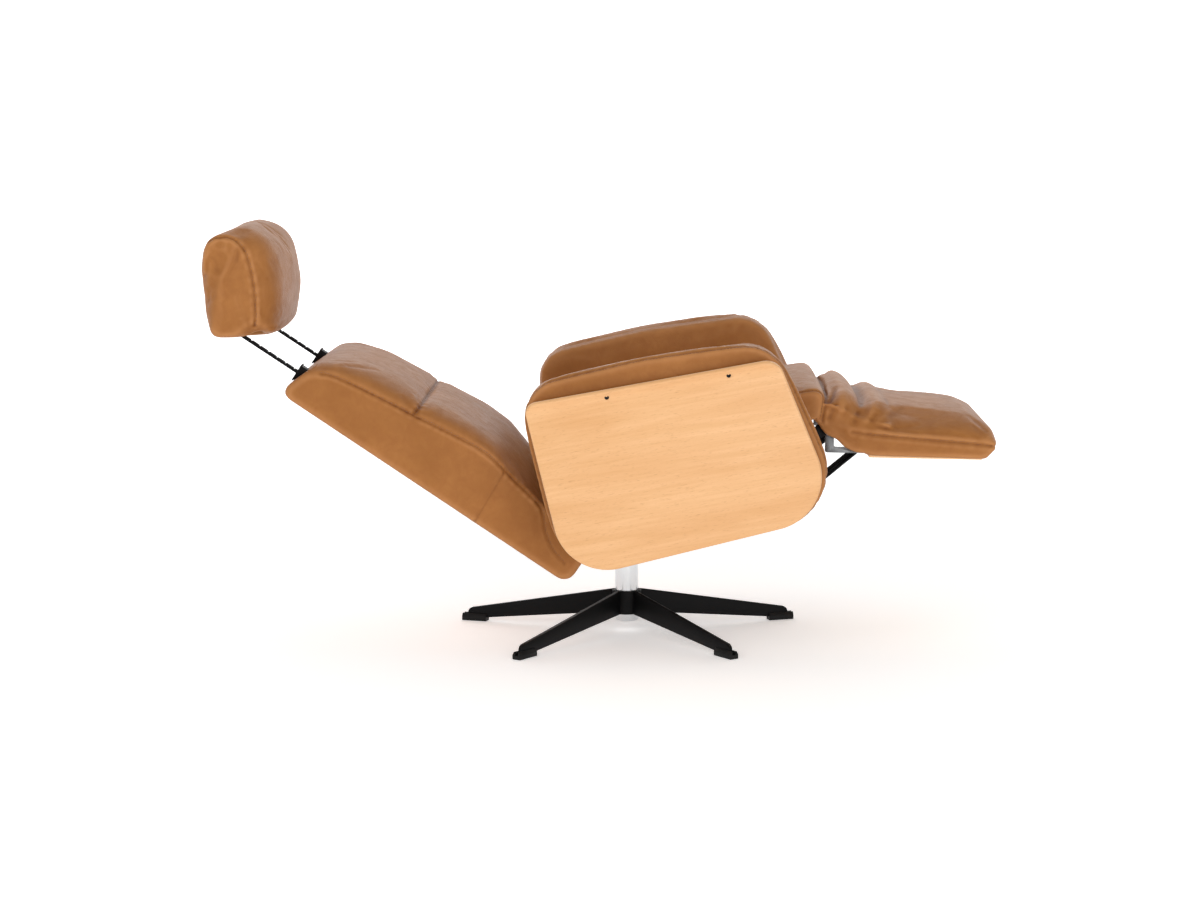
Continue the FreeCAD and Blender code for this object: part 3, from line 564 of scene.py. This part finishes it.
def leather_look():
    """Tan leather: clouded colour, paler on crests, painted shade in hollows, darker along seams as dirt and as
    painted shade in their grooves, with pores.
    """
    look = Look("tan_leather", Specular_IOR_Level=0.12, Coat_Weight=0.0)
    at = look.place("spot")
    cloud = look.noise(at, 7, 4, 0.55)
    mottle = look.noise(at, 46, 5, 0.6, 0.6)
    colour = look.mix(look.between(cloud, 0.3, 0.7), paint(156, 101, 52), paint(174, 116, 64))
    colour = look.mix(look.between(mottle, 0.35, 0.75, 0, 0.55), colour, paint(149, 94, 50))
    crest = look.field("crest")
    colour = look.mix(look.between(crest, 0.05, 0.55, 0, 0.5), colour, paint(196, 138, 88))
    # painted shade: hollows (crest below 0) are darkened towards a deep brown
    colour = look.mix(look.between(crest, -0.08, -0.6, 0, 0.6), colour, paint(112, 62, 31))
    # darker along seams: partly dirt, partly painted shade in the seam grooves
    colour = look.mix(look.math("MULTIPLY", look.field("seam"), 0.32), colour, paint(86, 46, 22))
    grain = look.cells(look.place("spot"), 620)
    pores = look.noise(at, 900, 2, 0.5)
    creases = look.noise(at, 120, 6, 0.62, 1.2)
    drape = look.noise(at, 21, 3, 0.5, 0.4)
    normal = look.bump(drape, 0.0035, 0.55)
    normal = look.bump(creases, 0.0009, 0.5, normal)
    normal = look.bump(look.between(grain, 0.0, 0.35), 0.00016, 0.5, normal)
    normal = look.bump(pores, 0.00012, 0.35, normal)
    rough = look.between(mottle, 0.3, 0.7, 0.40, 0.52)
    rough = look.math("SUBTRACT", rough, look.between(crest, 0.1, 0.6, 0.0, 0.07))
    return look.feed(Base_Color=colour, Roughness=rough, Normal=normal)


def beech_look():
    """Oiled beech veneer with its grain along the panel and short dark flecks."""
    look = Look("beech_veneer", Coat_Weight=0.25, Coat_Roughness=0.22, Specular_IOR_Level=0.45)
    long_grain = look.place("spot", (1, 1, 9))
    figure = look.noise(long_grain, 2.6, 4, 0.55, 0.7)
    stripes = look.noise(look.place("spot", (1.2, 1, 34)), 5, 5, 0.6, 0.3)
    flecks = look.noise(look.place("spot", (22, 6, 190)), 4, 2, 0.5)
    colour = look.mix(look.between(figure, 0.3, 0.72), paint(226, 170, 113), paint(240, 190, 136))
    colour = look.mix(look.between(stripes, 0.4, 0.75, 0, 0.45), colour, paint(219, 158, 98))
    colour = look.mix(look.between(flecks, 0.60, 0.74, 0, 0.5), colour, paint(190, 126, 72))
    normal = look.bump(stripes, 0.0002, 0.4)
    normal = look.bump(flecks, 0.0001, 0.4, normal)
    rough = look.between(figure, 0.3, 0.7, 0.30, 0.40)
    return look.feed(Base_Color=colour, Roughness=rough, Normal=normal)


def plywood_look():
    """Cut edge of bent plywood: thin layers seen from the side."""
    look = Look("beech_plywood_edge", Specular_IOR_Level=0.4)
    layers = look.bands("Y", 130.0, 0.6, "spot")
    fuzz = look.noise(look.place("spot"), 160, 4, 0.6)
    colour = look.mix(look.between(layers, 0.2, 0.8, 0, 0.6), paint(243, 203, 156), paint(214, 158, 104))
    colour = look.mix(look.between(fuzz, 0.4, 0.8, 0, 0.4), colour, paint(205, 148, 95))
    rough = look.between(fuzz, 0.3, 0.7, 0.38, 0.5)
    return look.feed(Base_Color=colour, Roughness=rough, Normal=look.bump(fuzz, 0.0003, 0.4))


def metal_look(name, base, other, roughness, spread, metallic=1.0, grain=(1, 1, 1), bump=0.0001,
               scale=300, specular=0.5):
    look = Look(name, Metallic=metallic, Specular_IOR_Level=specular)
    at = look.place(None, grain)
    fine = look.noise(at, scale, 4, 0.6)
    broad = look.noise(look.place(), 9, 4, 0.55)
    colour = look.mix(look.between(broad, 0.35, 0.7), base, other)
    colour = look.mix(look.between(fine, 0.55, 0.8, 0, 0.25), colour, base)
    wear = look.math("ADD", look.math("MULTIPLY", fine, 0.6), look.math("MULTIPLY", broad, 0.4))
    rough = look.between(wear, 0.3, 0.7, roughness - spread, roughness + spread)
    return look.feed(Base_Color=colour, Roughness=rough, Normal=look.bump(fine, bump, 0.6))


def thread_material():
    look = Look("brown_thread", Sheen_Weight=0.3)
    twist = look.bands("DIAGONAL", 900.0, 1.0)
    colour = look.mix(look.between(twist, 0.2, 0.8), paint(104, 60, 30), paint(150, 98, 56))
    rough = look.between(twist, 0, 1, 0.6, 0.8)
    return look.feed(Base_Color=colour, Roughness=rough, Normal=look.bump(twist, 0.0002, 0.6))


def webbing_look():
    look = Look("black_webbing", Sheen_Weight=0.25)
    across = look.bands("X", 210.0)
    along = look.bands("Y", 210.0)
    weave = look.math("MULTIPLY", across, along)
    fuzz = look.noise(look.place(), 500, 3, 0.6)
    colour = look.mix(look.between(weave, 0.1, 0.8), paint(18, 18, 19), paint(52, 51, 50))
    colour = look.mix(look.between(fuzz, 0.5, 0.8, 0, 0.4), colour, paint(70, 69, 66))
    return look.feed(Base_Color=colour, Roughness=look.between(fuzz, 0.3, 0.7, 0.75, 0.92),
                     Normal=look.bump(weave, 0.0004, 0.8))


leather = leather_look()
beech = beech_look()
plywood = plywood_look()
thread_look = thread_material()
black_paint = metal_look("black_powder_coat", paint(8, 8, 9), paint(13, 13, 14), 0.5, 0.08, 0.0,
                         bump=0.00012, scale=650, specular=0.14)
bright = metal_look("satin_chrome", paint(226, 228, 230), paint(208, 211, 214), 0.20, 0.06, 1.0,
                    (6, 6, 0.4), 0.00004, 90)
zinc = metal_look("zinc_plated_steel", paint(118, 119, 120), paint(96, 97, 98), 0.38, 0.08, 1.0)
frame_paint = metal_look("grey_frame_paint", paint(62, 63, 64), paint(78, 79, 80), 0.5, 0.08, 0.2)
plastic = metal_look("black_moulded_plastic", paint(15, 15, 16), paint(24, 24, 24), 0.55, 0.07, 0.0,
                     bump=0.0002, scale=420, specular=0.2)
webbing = webbing_look()
LOOKS = {
    "leather": leather, "side_wood": beech, "plywood": plywood, "black_steel": black_paint,
    "chrome": bright, "bright_steel": zinc, "frame_steel": frame_paint, "black_plastic": plastic,
    "webbing": webbing,
}


# ---------------------------------------------------------------- CAD pieces that are shown as they are

def dress_frame():
    """Materials and softened edges for the CAD nodes that are shown."""
    for part in frame["record"]["subparts"]:
        piece = frame["nodes"][part["node"]]
        slot = part["material_slot"]
        piece.data.materials.clear()
        piece.data.materials.append(LOOKS[slot])
        weld = piece.modifiers.new("weld", "WELD")
        weld.merge_threshold = 0.00002
        if slot != "leather":
            soft_edge = piece.modifiers.new("soft_edge", "BEVEL")
            soft_edge.width = 0.0007
            soft_edge.segments = 2
            soft_edge.limit_method = "ANGLE"
            soft_edge.angle_limit = math.radians(38)
            soft_edge.harden_normals = True
        piece.data.shade_smooth()


dress_frame()


# ---------------------------------------------------------------- headrest

def make_headrest():
    """The headrest cushion, slotted underneath for its hinge and rods."""
    corners = [(-36, -22, 18), (30, -26, 60), (90, -22, 20), (109, 62, 110), (97, 190, 64), (-35, 190, 40)]

    def edge(x, z):
        front = smooth(10, 60, x)
        return 13 + 34 * front, 18 + 50 * front

    def crown(x, z):
        return 3 + 6 * smooth(20, 80, x)

    piece = new_piece("headrest_leather", HEAD, loft(corners, 212, edge, crown=crown))
    slots = [block(-16, 66, sign * 165, 24, -60, -8) for sign in SIDES.values()]
    slots.append(block(-17, 13, 0, 352, -60, -4))
    carve(piece, HEAD, slots)
    remesh(piece, 5)
    relax(piece, 4)
    points = local(HEAD, read(piece))
    x, y, z = points.T
    side = np.abs(y) > 196
    rim = np.abs(x - np.interp(z, [0, 54, 88, 129, 156], [60, 63, 62, 57, 50])) < 6
    below = smooth(-8, -20, z)
    hold = np.maximum(np.where(side & rim, 1.0, 0.0), below)
    inflate(piece, hold, 9)
    relax(piece, 2)
    subdivide(piece)
    paths = []
    for sign in SIDES.values():
        line = [(58, sign * 211, -14), (62, sign * 212, 20), (64, sign * 213, 54), (63, sign * 213, 88),
                (58, sign * 212, 129), (49, sign * 210, 158), (30, sign * 206, 176), (0, sign * 205, 182),
                (-26, sign * 205, 180)]
        paths.append(seam(piece, HEAD, line, 2.0, 2.3, 0.8))
        for number, (x0, z0, x1, z1, height) in enumerate((
                (20, 186, 12, 150, 1.5), (34, 180, 27, 146, 1.3), (8, 188, -2, 158, -1.2),
                (40, 168, 34, 120, -1.2), (-12, 186, -14, 160, 1.1), (30, 20, 22, 70, 1.0),
                (6, 10, 0, 60, -1.0), (44, -12, 30, 24, 1.2))):
            stroke(piece, HEAD, [(x0, sign * 205, z0), ((x0 + x1) / 2 + 1, sign * 213, (z0 + z1) / 2),
                                 (x1, sign * 213, z1)], height, 5 + number % 3)
    finish_leather(piece, HEAD, leather, "headrest")
    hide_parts("headrest_cushion")
    stitches("headrest_stitching", piece, paths, (-3.2,), "headrest")


make_headrest()


# ---------------------------------------------------------------- back

# Side seam of the back: x and z in its leaning frame.
BACK_SEAM = [(-60, 570), (-52, 545), (-40, 469), (-27, 355), (-14, 247), (-11, 203), (-17, 146), (-31, 81),
             (-45, 42), (-79, 9), (-102, -25), (-112, -60)]


def make_back():
    """The back with its upper and lower cushions, sewn together across the middle."""
    corners = [(-148, -90, 26), (-84, -90, 26), (-44, -48, 22), (-34, 50, 60), (-8, 126, 60),
               (10, 182, 70), (13, 247, 120), (1, 366, 300), (-11, 488, 90), (-27, 556, 26),
               (-54, 586, 14), (-144, 621, 18)]

    def edge(x, z):
        front = smooth(-86, -40, x) * smooth(40, 130, z)
        return 8 + 21 * front, 13 + 47 * front

    def crown(x, z):
        return 3 * smooth(-60, -20, x) * smooth(90, 160, z)

    piece = new_piece("back_leather", BACK, loft(corners, 252, edge, crown=crown))
    remesh(piece, 6)
    relax(piece, 3)
    points = local(BACK, read(piece))
    x, y, z = points.T
    line = np.array(BACK_SEAM)
    order = np.argsort(line[:, 1])
    rim = np.abs(x - np.interp(z, line[order, 1], line[order, 0])) < 6
    side_seam = (np.abs(y) > 238) & rim
    cross_seam = (np.abs(z - 364) < 5) & (x > -50)
    end = smooth(560, 590, z)
    foot = smooth(40, 0, z)
    rear = smooth(-120, -140, x)
    hold = np.maximum.reduce([side_seam * 1.0, cross_seam * 1.0, end, foot, rear * 0.75])
    inflate(piece, hold, 14)
    relax(piece, 2)
    subdivide(piece)

    points = local(BACK, read(piece))
    valley = -5.5 * np.exp(-((points[:, 2] - 364) / 16) ** 2) * smooth(-50, -20, points[:, 0])
    write(piece, read(piece) + read(piece, "normal") * (valley * MM)[:, None])
    paths, singles, doubles = [], [], []
    for sign in SIDES.values():
        rail = [(x, sign * 252, z) for x, z in BACK_SEAM]
        singles.append(seam(piece, BACK, rail, 1.9, 2.2, 0.55))
        seam(piece, BACK, [(-20, sign * 254, 146), (-75, sign * 254, 144), (-134, sign * 252, 141),
                           (-150, sign * 246, 140)], 1.2, 2.0, 0.1, 0.3)
        for x0, y0, z0, x1, y1, z1, height, width in (
                (-14, 243, 372, 4, 190, 392, 1.3, 7), (-16, 243, 352, 3, 196, 330, 1.2, 7),
                (-20, 246, 380, -8, 226, 412, -1.0, 6), (-18, 246, 345, -4, 224, 318, -1.0, 6),
                (-34, 240, 90, -6, 190, 150, 1.6, 10), (-24, 248, 120, 2, 205, 190, -1.4, 9),
                (-50, 250, 520, -24, 205, 540, 1.2, 8), (-46, 250, 500, -22, 214, 512, -1.0, 7),
                (-60, 254, 420, -110, 254, 330, 0.7, 14), (-70, 254, 260, -120, 254, 180, 0.8, 16),
                (-60, 254, 60, -110, 254, 20, 1.2, 14)):
            middle = ((x0 + x1) / 2, sign * (y0 + y1) / 2, (z0 + z1) / 2)
            stroke(piece, BACK, [(x0, sign * y0, z0), middle, (x1, sign * y1, z1)], height, width)
    cross = [(-24, 250, 364), (-8, 238, 364), (2, 205, 364), (3, 100, 364), (3, 0, 364), (3, -100, 364),
             (2, -205, 364), (-8, -238, 364), (-24, -250, 364)]
    doubles.append(seam(piece, BACK, cross, 2.4, 2.6, 0.9, 1.0))
    finish_leather(piece, BACK, leather, "back")
    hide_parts("back_cover", "back_cushion_lower", "back_cushion_upper")
    stitches("back_side_stitching", piece, singles, (3.4,), "back")
    stitches("back_cross_stitching", piece, doubles, (-4.5, 4.5), "back")


make_back()


# ---------------------------------------------------------------- seat

def make_seat():
    """The seat cushion and its front roll, with a sewn valley between them."""
    corners = [(-153, 66, 12), (314, 66, 6), (316, 118, 6), (396, 118, 8), (409, 150, 34), (417, 182, 22),
               (372, 184, 60), (200, 181, 60), (-154, 152, 24)]

    def edge(x, z):
        top = smooth(110, 150, z)
        return 8 + 8 * top, 12 + 16 * top

    def crown(x, z):
        return 5 * smooth(130, 170, z)

    piece = new_piece("seat_leather", SEAT, loft(corners, 262, edge, crown=crown))
    remesh(piece, 6)
    relax(piece, 3)
    points = local(SEAT, read(piece))
    x, y, z = points.T
    hold = np.maximum.reduce([smooth(130, 112, z), smooth(246, 258, np.abs(y)),
                              (np.abs(x - 318) < 5) * smooth(140, 160, z), smooth(-130, -148, x)])
    inflate(piece, hold, 12)
    relax(piece, 2)
    subdivide(piece)
    points = local(SEAT, read(piece))
    valley = -5 * np.exp(-((points[:, 0] - 318) / 15) ** 2) * smooth(140, 170, points[:, 2])
    write(piece, read(piece) + read(piece, "normal") * (valley * MM)[:, None])
    cross = [(318, 256, 150), (318, 250, 172), (318, 200, 188), (318, 0, 196), (318, -200, 188),
             (318, -250, 172), (318, -256, 150)]
    doubles = [seam(piece, SEAT, cross, 2.4, 2.6, 0.9, 1.0)]
    singles = []
    for sign in SIDES.values():
        rail = [(along, sign * 250, high) for along, high in (
            (-150, 140), (-60, 156), (100, 168), (230, 173), (372, 173), (408, 168), (407, 146), (396, 122))]
        singles.append(seam(piece, SEAT, rail, 1.8, 2.6, 0.5))
        for x0, x1, height in ((-120, -96, 1.5), (-70, -40, -1.3), (20, 44, 1.2), (120, 150, -1.2),
                               (210, 236, 1.2), (280, 292, 1.4), (344, 336, 1.4), (380, 366, -1.1)):
            crease = [(x0, sign * 240, 176), ((x0 + x1) / 2, sign * 215, 184), (x1, sign * 180, 190)]
            stroke(piece, SEAT, crease, height, 8)
    finish_leather(piece, SEAT, leather, "seat")
    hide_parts("seat_cushion", "seat_front_roll")
    stitches("seat_cross_stitching", piece, doubles, (-4.5, 4.5), "seat")
    stitches("seat_side_stitching", piece, singles, (3.2,), "seat")


make_seat()


# ---------------------------------------------------------------- arms and side panels

# Side outlines of the armrest and of the wooden panel: x, z and corner radius.
ARM = [(-168, -98, 110), (420, -62, 110), (325, 304, 84), (60, 315, 600), (-193, 301, 70)]


def make_arm(side, sign):
    """A padded armrest with a seam around each of its two faces."""
    middle = 318
    def edge(x, z):
        return np.full_like(x, 11.0), np.full_like(x, 16.0)

    piece = new_piece(f"arm_{side}_leather", SEAT, loft(ARM, 45, edge, centre=sign * middle))
    remesh(piece, 6)
    relax(piece, 3)
    points = local(SEAT, read(piece))
    hold = (np.abs(points[:, 1]) > 360) * 1.0  # the outer side, behind the panel
    inflate(piece, hold, 5)
    relax(piece, 2)
    subdivide(piece)
    paths = []
    for across in (297, 356):
        ring, inward = rounded(ARM, 3.0)
        ring = ring + inward * 1.5
        line = np.stack([ring[:, 0], np.full(len(ring), sign * across), ring[:, 1]], 1)
        line = np.vstack([line, line[:1]])
        paths.append(seam(piece, SEAT, line, 1.3, 2.4, 0.3, 0.6, smoothly=False))
    finish_leather(piece, SEAT, leather, "seat")
    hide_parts(f"arm_{side}")
    stitches(f"arm_{side}_stitching", piece, paths, (3.0,), "seat")


PANEL = [(-162, -97, 108), (398.7, -60, 108), (327.5, 272, 36), (-185, 272, 24)]


def make_panel(side, sign):
    """A bent plywood panel: bowed outwards, its top edge flared like a lip."""
    ring, inward = rounded(PANEL)
    inner, thick, edge_radius = 366.6, 12.0, 4.5
    lip_start, lip_height, lip_flare = 244.0, 28, 13
    middle_x, middle_z, half_height, swell_most = 100.0, 90.0, 210, 9
    parallel, shrink = 16, 124
    # how far in from the outline each ring of the mesh lies, dense on the rounded edge
    reach = np.concatenate([[0, 0.3, 0.8, 1.6, 2.8, edge_radius], np.arange(8, parallel, 4),
                            np.linspace(parallel, 138.5, 32)])

    def bow(z):
        """How far the sheet stands out at height z, and its slope there."""
        swell = swell_most * (1 - ((z - middle_z) / half_height) ** 2)
        lip = np.maximum(z - lip_start, 0) / lip_height
        slope = np.where(swell > -2, -2 * swell_most * (z - middle_z) / half_height ** 2, 0)
        return np.maximum(swell, -2) + lip_flare * lip ** 2, slope + 2 * lip_flare * lip / lip_height

    def level(shift):
        """The outline moved inwards; far in it shrinks towards the middle, so that it never crosses."""
        centre = np.array([middle_x, middle_z])
        if shift <= parallel:
            return ring + inward * shift
        return centre + (ring + inward * parallel - centre) * (1 - (shift - parallel) / shrink)

    def skin(depth, direction):
        """One face of the sheet, depth mm from its inner face, with rounded edges."""
        made = []
        for shift in reach:
            flat = level(shift)
            out, slope = bow(flat[:, 1])
            size = np.sqrt(1 + slope ** 2)
            rim = edge_radius - math.sqrt(edge_radius ** 2 - max(0.0, edge_radius - shift) ** 2)
            along = depth - direction * rim
            y = inner + out + along / size
            z = flat[:, 1] - along * slope / size
            made.append(np.stack([flat[:, 0], sign * y, z], 1))
        return made

    outside = skin(thick, 1)
    inside = skin(0.0, -1)
    piece = new_piece(f"side_panel_{side}_veneer", SEAT, rings_to_mesh(inside[::-1] + outside))
    put(piece, "spot", local(SEAT, read(piece)) * MM, "FLOAT_VECTOR")
    piece.data.shade_smooth()
    piece.data.materials.append(beech)
    piece.data.materials.append(plywood)
    normals = np.zeros(len(piece.data.polygons) * 3)
    piece.data.polygons.foreach_get("normal", normals)
    turned = np.abs(normals.reshape(-1, 3)[:, 1]) < 0.55
    piece.data.polygons.foreach_set("material_index", turned.astype(np.int32))
    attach(piece, "seat")
    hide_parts(f"side_panel_{side}")

    # Two domed screw caps sit under the lip.
    profile = ((4.4, -3), (4.7, 0.6), (4.3, 1.5), (3.0, 1.9), (2.1, 1.2), (0.3, 1.1))
    turn = np.linspace(0, 2 * math.pi, 25)[:-1]
    high = 254.0
    face = inner + bow(np.array([high]))[0][0] + thick
    for number, along in enumerate((-18, 227), start=1):
        rings = [np.stack([along + radius * np.cos(turn), np.full_like(turn, sign * (face + depth)),
                           high + radius * np.sin(turn)], 1) for radius, depth in profile]
        cap = new_piece(f"panel_cap_{side}_{number}", SEAT, rings_to_mesh(rings))
        cap.data.shade_smooth()
        cap.data.materials.append(plastic)
        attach(cap, "seat")
        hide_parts("panel_caps")


for side, sign in SIDES.items():
    make_arm(side, sign)
    make_panel(side, sign)


# ---------------------------------------------------------------- footrest and its folded cover

def make_footrest():
    """Footrest pad, the folds of leather over its hinge and a skirt at each side, as one cover."""
    pad = [(52, -40, 10), (76, -62, 12), (318, -64, 8), (340, -38, 14), (332, -2, 16), (283, 8, 40),
           (134, 19, 60), (54, 20, 14)]
    folds = [(-50, 50, 6), (-30, 56, 30), (-6, 46, 12), (10, 52, 14), (26, 60, 12), (42, 50, 10),
             (56, 24, 12), (74, 26, 12), (90, 36, 16), (112, 28, 20), (128, 18, 6), (128, -4, 6),
             (60, -12, 8), (30, 8, 12), (0, 22, 12), (-50, 26, 6)]
    skirt = [(-44, 40, 10), (-40, 14, 10), (-26, 2, 8), (-10, -20, 8), (12, -28, 10), (30, -46, 10),
             (60, -58, 10), (92, -40, 10), (92, 6, 10), (40, 26, 10), (0, 34, 10)]

    def pad_edge(x, z):
        top = smooth(-34, 4, z)
        return 9 + 27 * top, 14 + 46 * top

    def fold_edge(x, z):
        top = smooth(0, 30, z)
        return 8 + 26 * top, 14 + 46 * top

    def skirt_edge(x, z):
        return np.full_like(x, 5.0), np.full_like(x, 6.0)

    def pad_crown(x, z):
        return 10 * smooth(-4, 14, z)

    def fold_crown(x, z):
        return 9 * smooth(16, 40, z)

    forms = [loft(pad, 246, pad_edge, crown=pad_crown), loft(folds, 246, fold_edge, crown=fold_crown)]
    forms += [loft(skirt, 9, skirt_edge, centre=sign * 237) for sign in SIDES.values()]
    piece = new_piece("footrest_leather", FOOT, joined(*forms))
    remesh(piece, 5)
    relax(piece, 5)
    points = local(FOOT, read(piece))
    x, y, z = points.T
    seam_height = np.interp(x, [0, 75, 165, 284, 342], [-6, -16, -23, -31, -36])
    side_seam = (np.abs(y) > 232) & (np.abs(z - seam_height) < 6)
    hold = np.maximum.reduce([side_seam * 1.0, smooth(-44, -56, z), smooth(0, -30, x),
                              smooth(320, 338, x) * 0.7])
    inflate(piece, hold, 9)
    relax(piece, 1)
    subdivide(piece)
    strokes = (
        # first fold: its crest runs over the edge and down the side
        ([(28, 150, 60), (24, 205, 52), (18, 240, 30), (10, 250, 4)], 5, 9),
        ([(4, 150, 50), (0, 205, 42), (-2, 240, 22), (-4, 250, 0)], -4.5, 7),
        # the valley between the folds
        ([(56, 120, 34), (56, 200, 24), (48, 240, 8), (38, 250, -12)], -6, 9),
        # second fold
        ([(92, 150, 36), (88, 200, 30), (72, 240, 10), (62, 250, -8)], 4, 9),
        # slack creases that die out towards the pad
        ([(122, 20, 30), (108, 140, 28), (92, 215, 20), (80, 246, 0)], -3.4, 7),
        ([(140, 60, 32), (126, 170, 28), (104, 230, 14), (92, 248, -6)], 2.2, 8),
        ([(44, 60, 44), (46, 150, 40), (40, 226, 26)], -2.4, 6),
        ([(30, 249, 14), (50, 251, -8), (80, 251, -18)], 1.8, 6),
        ([(14, 249, -4), (34, 251, -22), (64, 250, -34)], -1.8, 6),
        ([(-20, 249, 20), (0, 251, -6), (20, 251, -18)], 1.6, 6),
        ([(180, 200, 26), (150, 236, 8), (130, 249, -12)], 1.2, 9),
    )
    for sign in SIDES.values():
        for line, height, width in strokes:
            stroke(piece, FOOT, [(px, sign * py, pz) for px, py, pz in line], height, width, 0.3)
    paths = []
    for sign in SIDES.values():
        rail = [(44, sign * 250, -12), (75, sign * 250, -16), (165, sign * 250, -23),
                (284, sign * 250, -31), (326, sign * 248, -35)]
        paths.append(seam(piece, FOOT, rail, 2.0, 2.6, 0.5))
    tip = [(326, -247, -35), (338, -236, -36), (343, -205, -36), (344, 0, -36), (343, 205, -36),
           (338, 236, -36), (326, 247, -35)]
    paths.append(seam(piece, FOOT, tip, 2.0, 2.6, 0.4))
    front = [(-18, -248, 10), (-12, -244, 40), (-8, -200, 52), (-8, 0, 58), (-8, 200, 52), (-12, 244, 40),
             (-18, 248, 10)]
    seam(piece, FOOT, front, 2.2, 2.6, 0.8)
    finish_leather(piece, FOOT, leather, None)
    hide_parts("footrest_cushion", "footrest_gusset")
    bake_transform(piece)
    stitches("footrest_stitching", piece, [paths[0][18:], paths[1][18:], paths[2]], (3.2,), "footrest")


make_footrest()


# ---------------------------------------------------------------- floor, light and camera

def make_floor():
    """A pale floor that curves up into the backdrop and glows more strongly behind the chair."""
    front, bend_start, bend_radius, top, half_width = -9.0, 8.0, 2.2, 12.0, 20.0
    below = 0.0005  # keeps the floor clear of the glides
    profile = [(y, 0.0) for y in (front, -3.0, 0.0, bend_start)]
    for number in range(1, 17):
        angle = math.pi / 2 * number / 16
        profile.append((bend_start + bend_radius * math.sin(angle), bend_radius * (1 - math.cos(angle))))
    profile.append((bend_start + bend_radius, top))
    points, faces = [], []
    for y, z in profile:
        points += [(-half_width, y, z - below), (half_width, y, z - below)]
    for row in range(len(profile) - 1):
        faces.append((2 * row, 2 * row + 1, 2 * row + 3, 2 * row + 2))
    mesh = bpy.data.meshes.new("studio_floor")
    mesh.from_pydata(points, [], faces)
    mesh.shade_smooth()
    floor = bpy.data.objects.new("studio_floor", mesh)
    bpy.context.scene.collection.objects.link(floor)
    look = Look("pale_floor", Specular_IOR_Level=0.1, Emission_Color=(1, 1, 1, 1))
    behind = look.node("ShaderNodeSeparateXYZ", {"Vector": look.place()}).outputs["Y"]
    glow = look.between(behind, 1.2, 4.0, 0.36, 0.9)
    fine = look.noise(look.place(), 90, 3, 0.5)
    colour = look.mix(fine, paint(250, 250, 250), paint(246, 246, 246))
    floor.data.materials.append(look.feed(Base_Color=colour, Roughness=look.between(fine, 0, 1, 0.8, 0.9),
                                          Emission_Strength=glow))


def add_light(name, at, aim, size, power, colour=(1, 1, 1)):
    """A rectangular lamp at a place in metres, turned to its aim; power in watts."""
    lamp = bpy.data.lights.new(name, "AREA")
    lamp.shape = "RECTANGLE"
    lamp.size, lamp.size_y = size
    lamp.energy = power
    lamp.color = colour
    made = bpy.data.objects.new(name, lamp)
    made.location = at
    made.rotation_euler = (Vector(aim) - Vector(at)).to_track_quat("-Z", "Y").to_euler()
    bpy.context.scene.collection.objects.link(made)


def make_studio():
    """Pale floor, four soft lamps and an even white surrounding."""
    make_floor()
    add_light("key", (-2.6, -3.8, 2.8), (0, 0, 0.4), (2.6, 2.6), 64, (1.0, 0.985, 0.965))
    add_light("fill", (1.6, -4.2, 1.3), (0, 0, 0.5), (2.4, 2.4), 54)
    add_light("top", (0.2, 0.6, 4.2), (0, 0, 0.3), (4.0, 3.0), 12)
    add_light("rim", (-1.5, 3.2, 2.8), (0, 0, 0.5), (3.0, 1.6), 7)
    world = bpy.data.worlds.new("studio")
    world.use_nodes = True
    back = world.node_tree.nodes["Background"]
    back.inputs["Color"].default_value = (1, 1, 1, 1)
    back.inputs["Strength"].default_value = 0.37
    bpy.context.scene.world = world
    bpy.context.scene.view_settings.view_transform = "Standard"


def make_camera():
    """A long lens in front of the chair's right side, a little above it; angles in radians."""
    yaw, pitch, roll = 0.0229, 0.1376, -0.008
    at = Vector((0.078, -5.8, 1.192))
    ahead = Vector((-math.sin(yaw) * math.cos(pitch), math.cos(yaw) * math.cos(pitch), -math.sin(pitch)))
    right = Vector((math.cos(yaw), math.sin(yaw), 0))
    up = right.cross(ahead)
    level = right * math.cos(roll) + up * math.sin(roll)
    upright = up * math.cos(roll) - right * math.sin(roll)
    lens = bpy.data.cameras.new("camera")
    lens.sensor_width = 36
    lens.lens = 82.65
    camera = bpy.data.objects.new("camera", lens)
    camera.matrix_world = Matrix((
        (level.x, upright.x, -ahead.x, at.x),
        (level.y, upright.y, -ahead.y, at.y),
        (level.z, upright.z, -ahead.z, at.z),
        (0, 0, 0, 1),
    ))
    bpy.context.scene.collection.objects.link(camera)
    bpy.context.scene.camera = camera


make_studio()
make_camera()
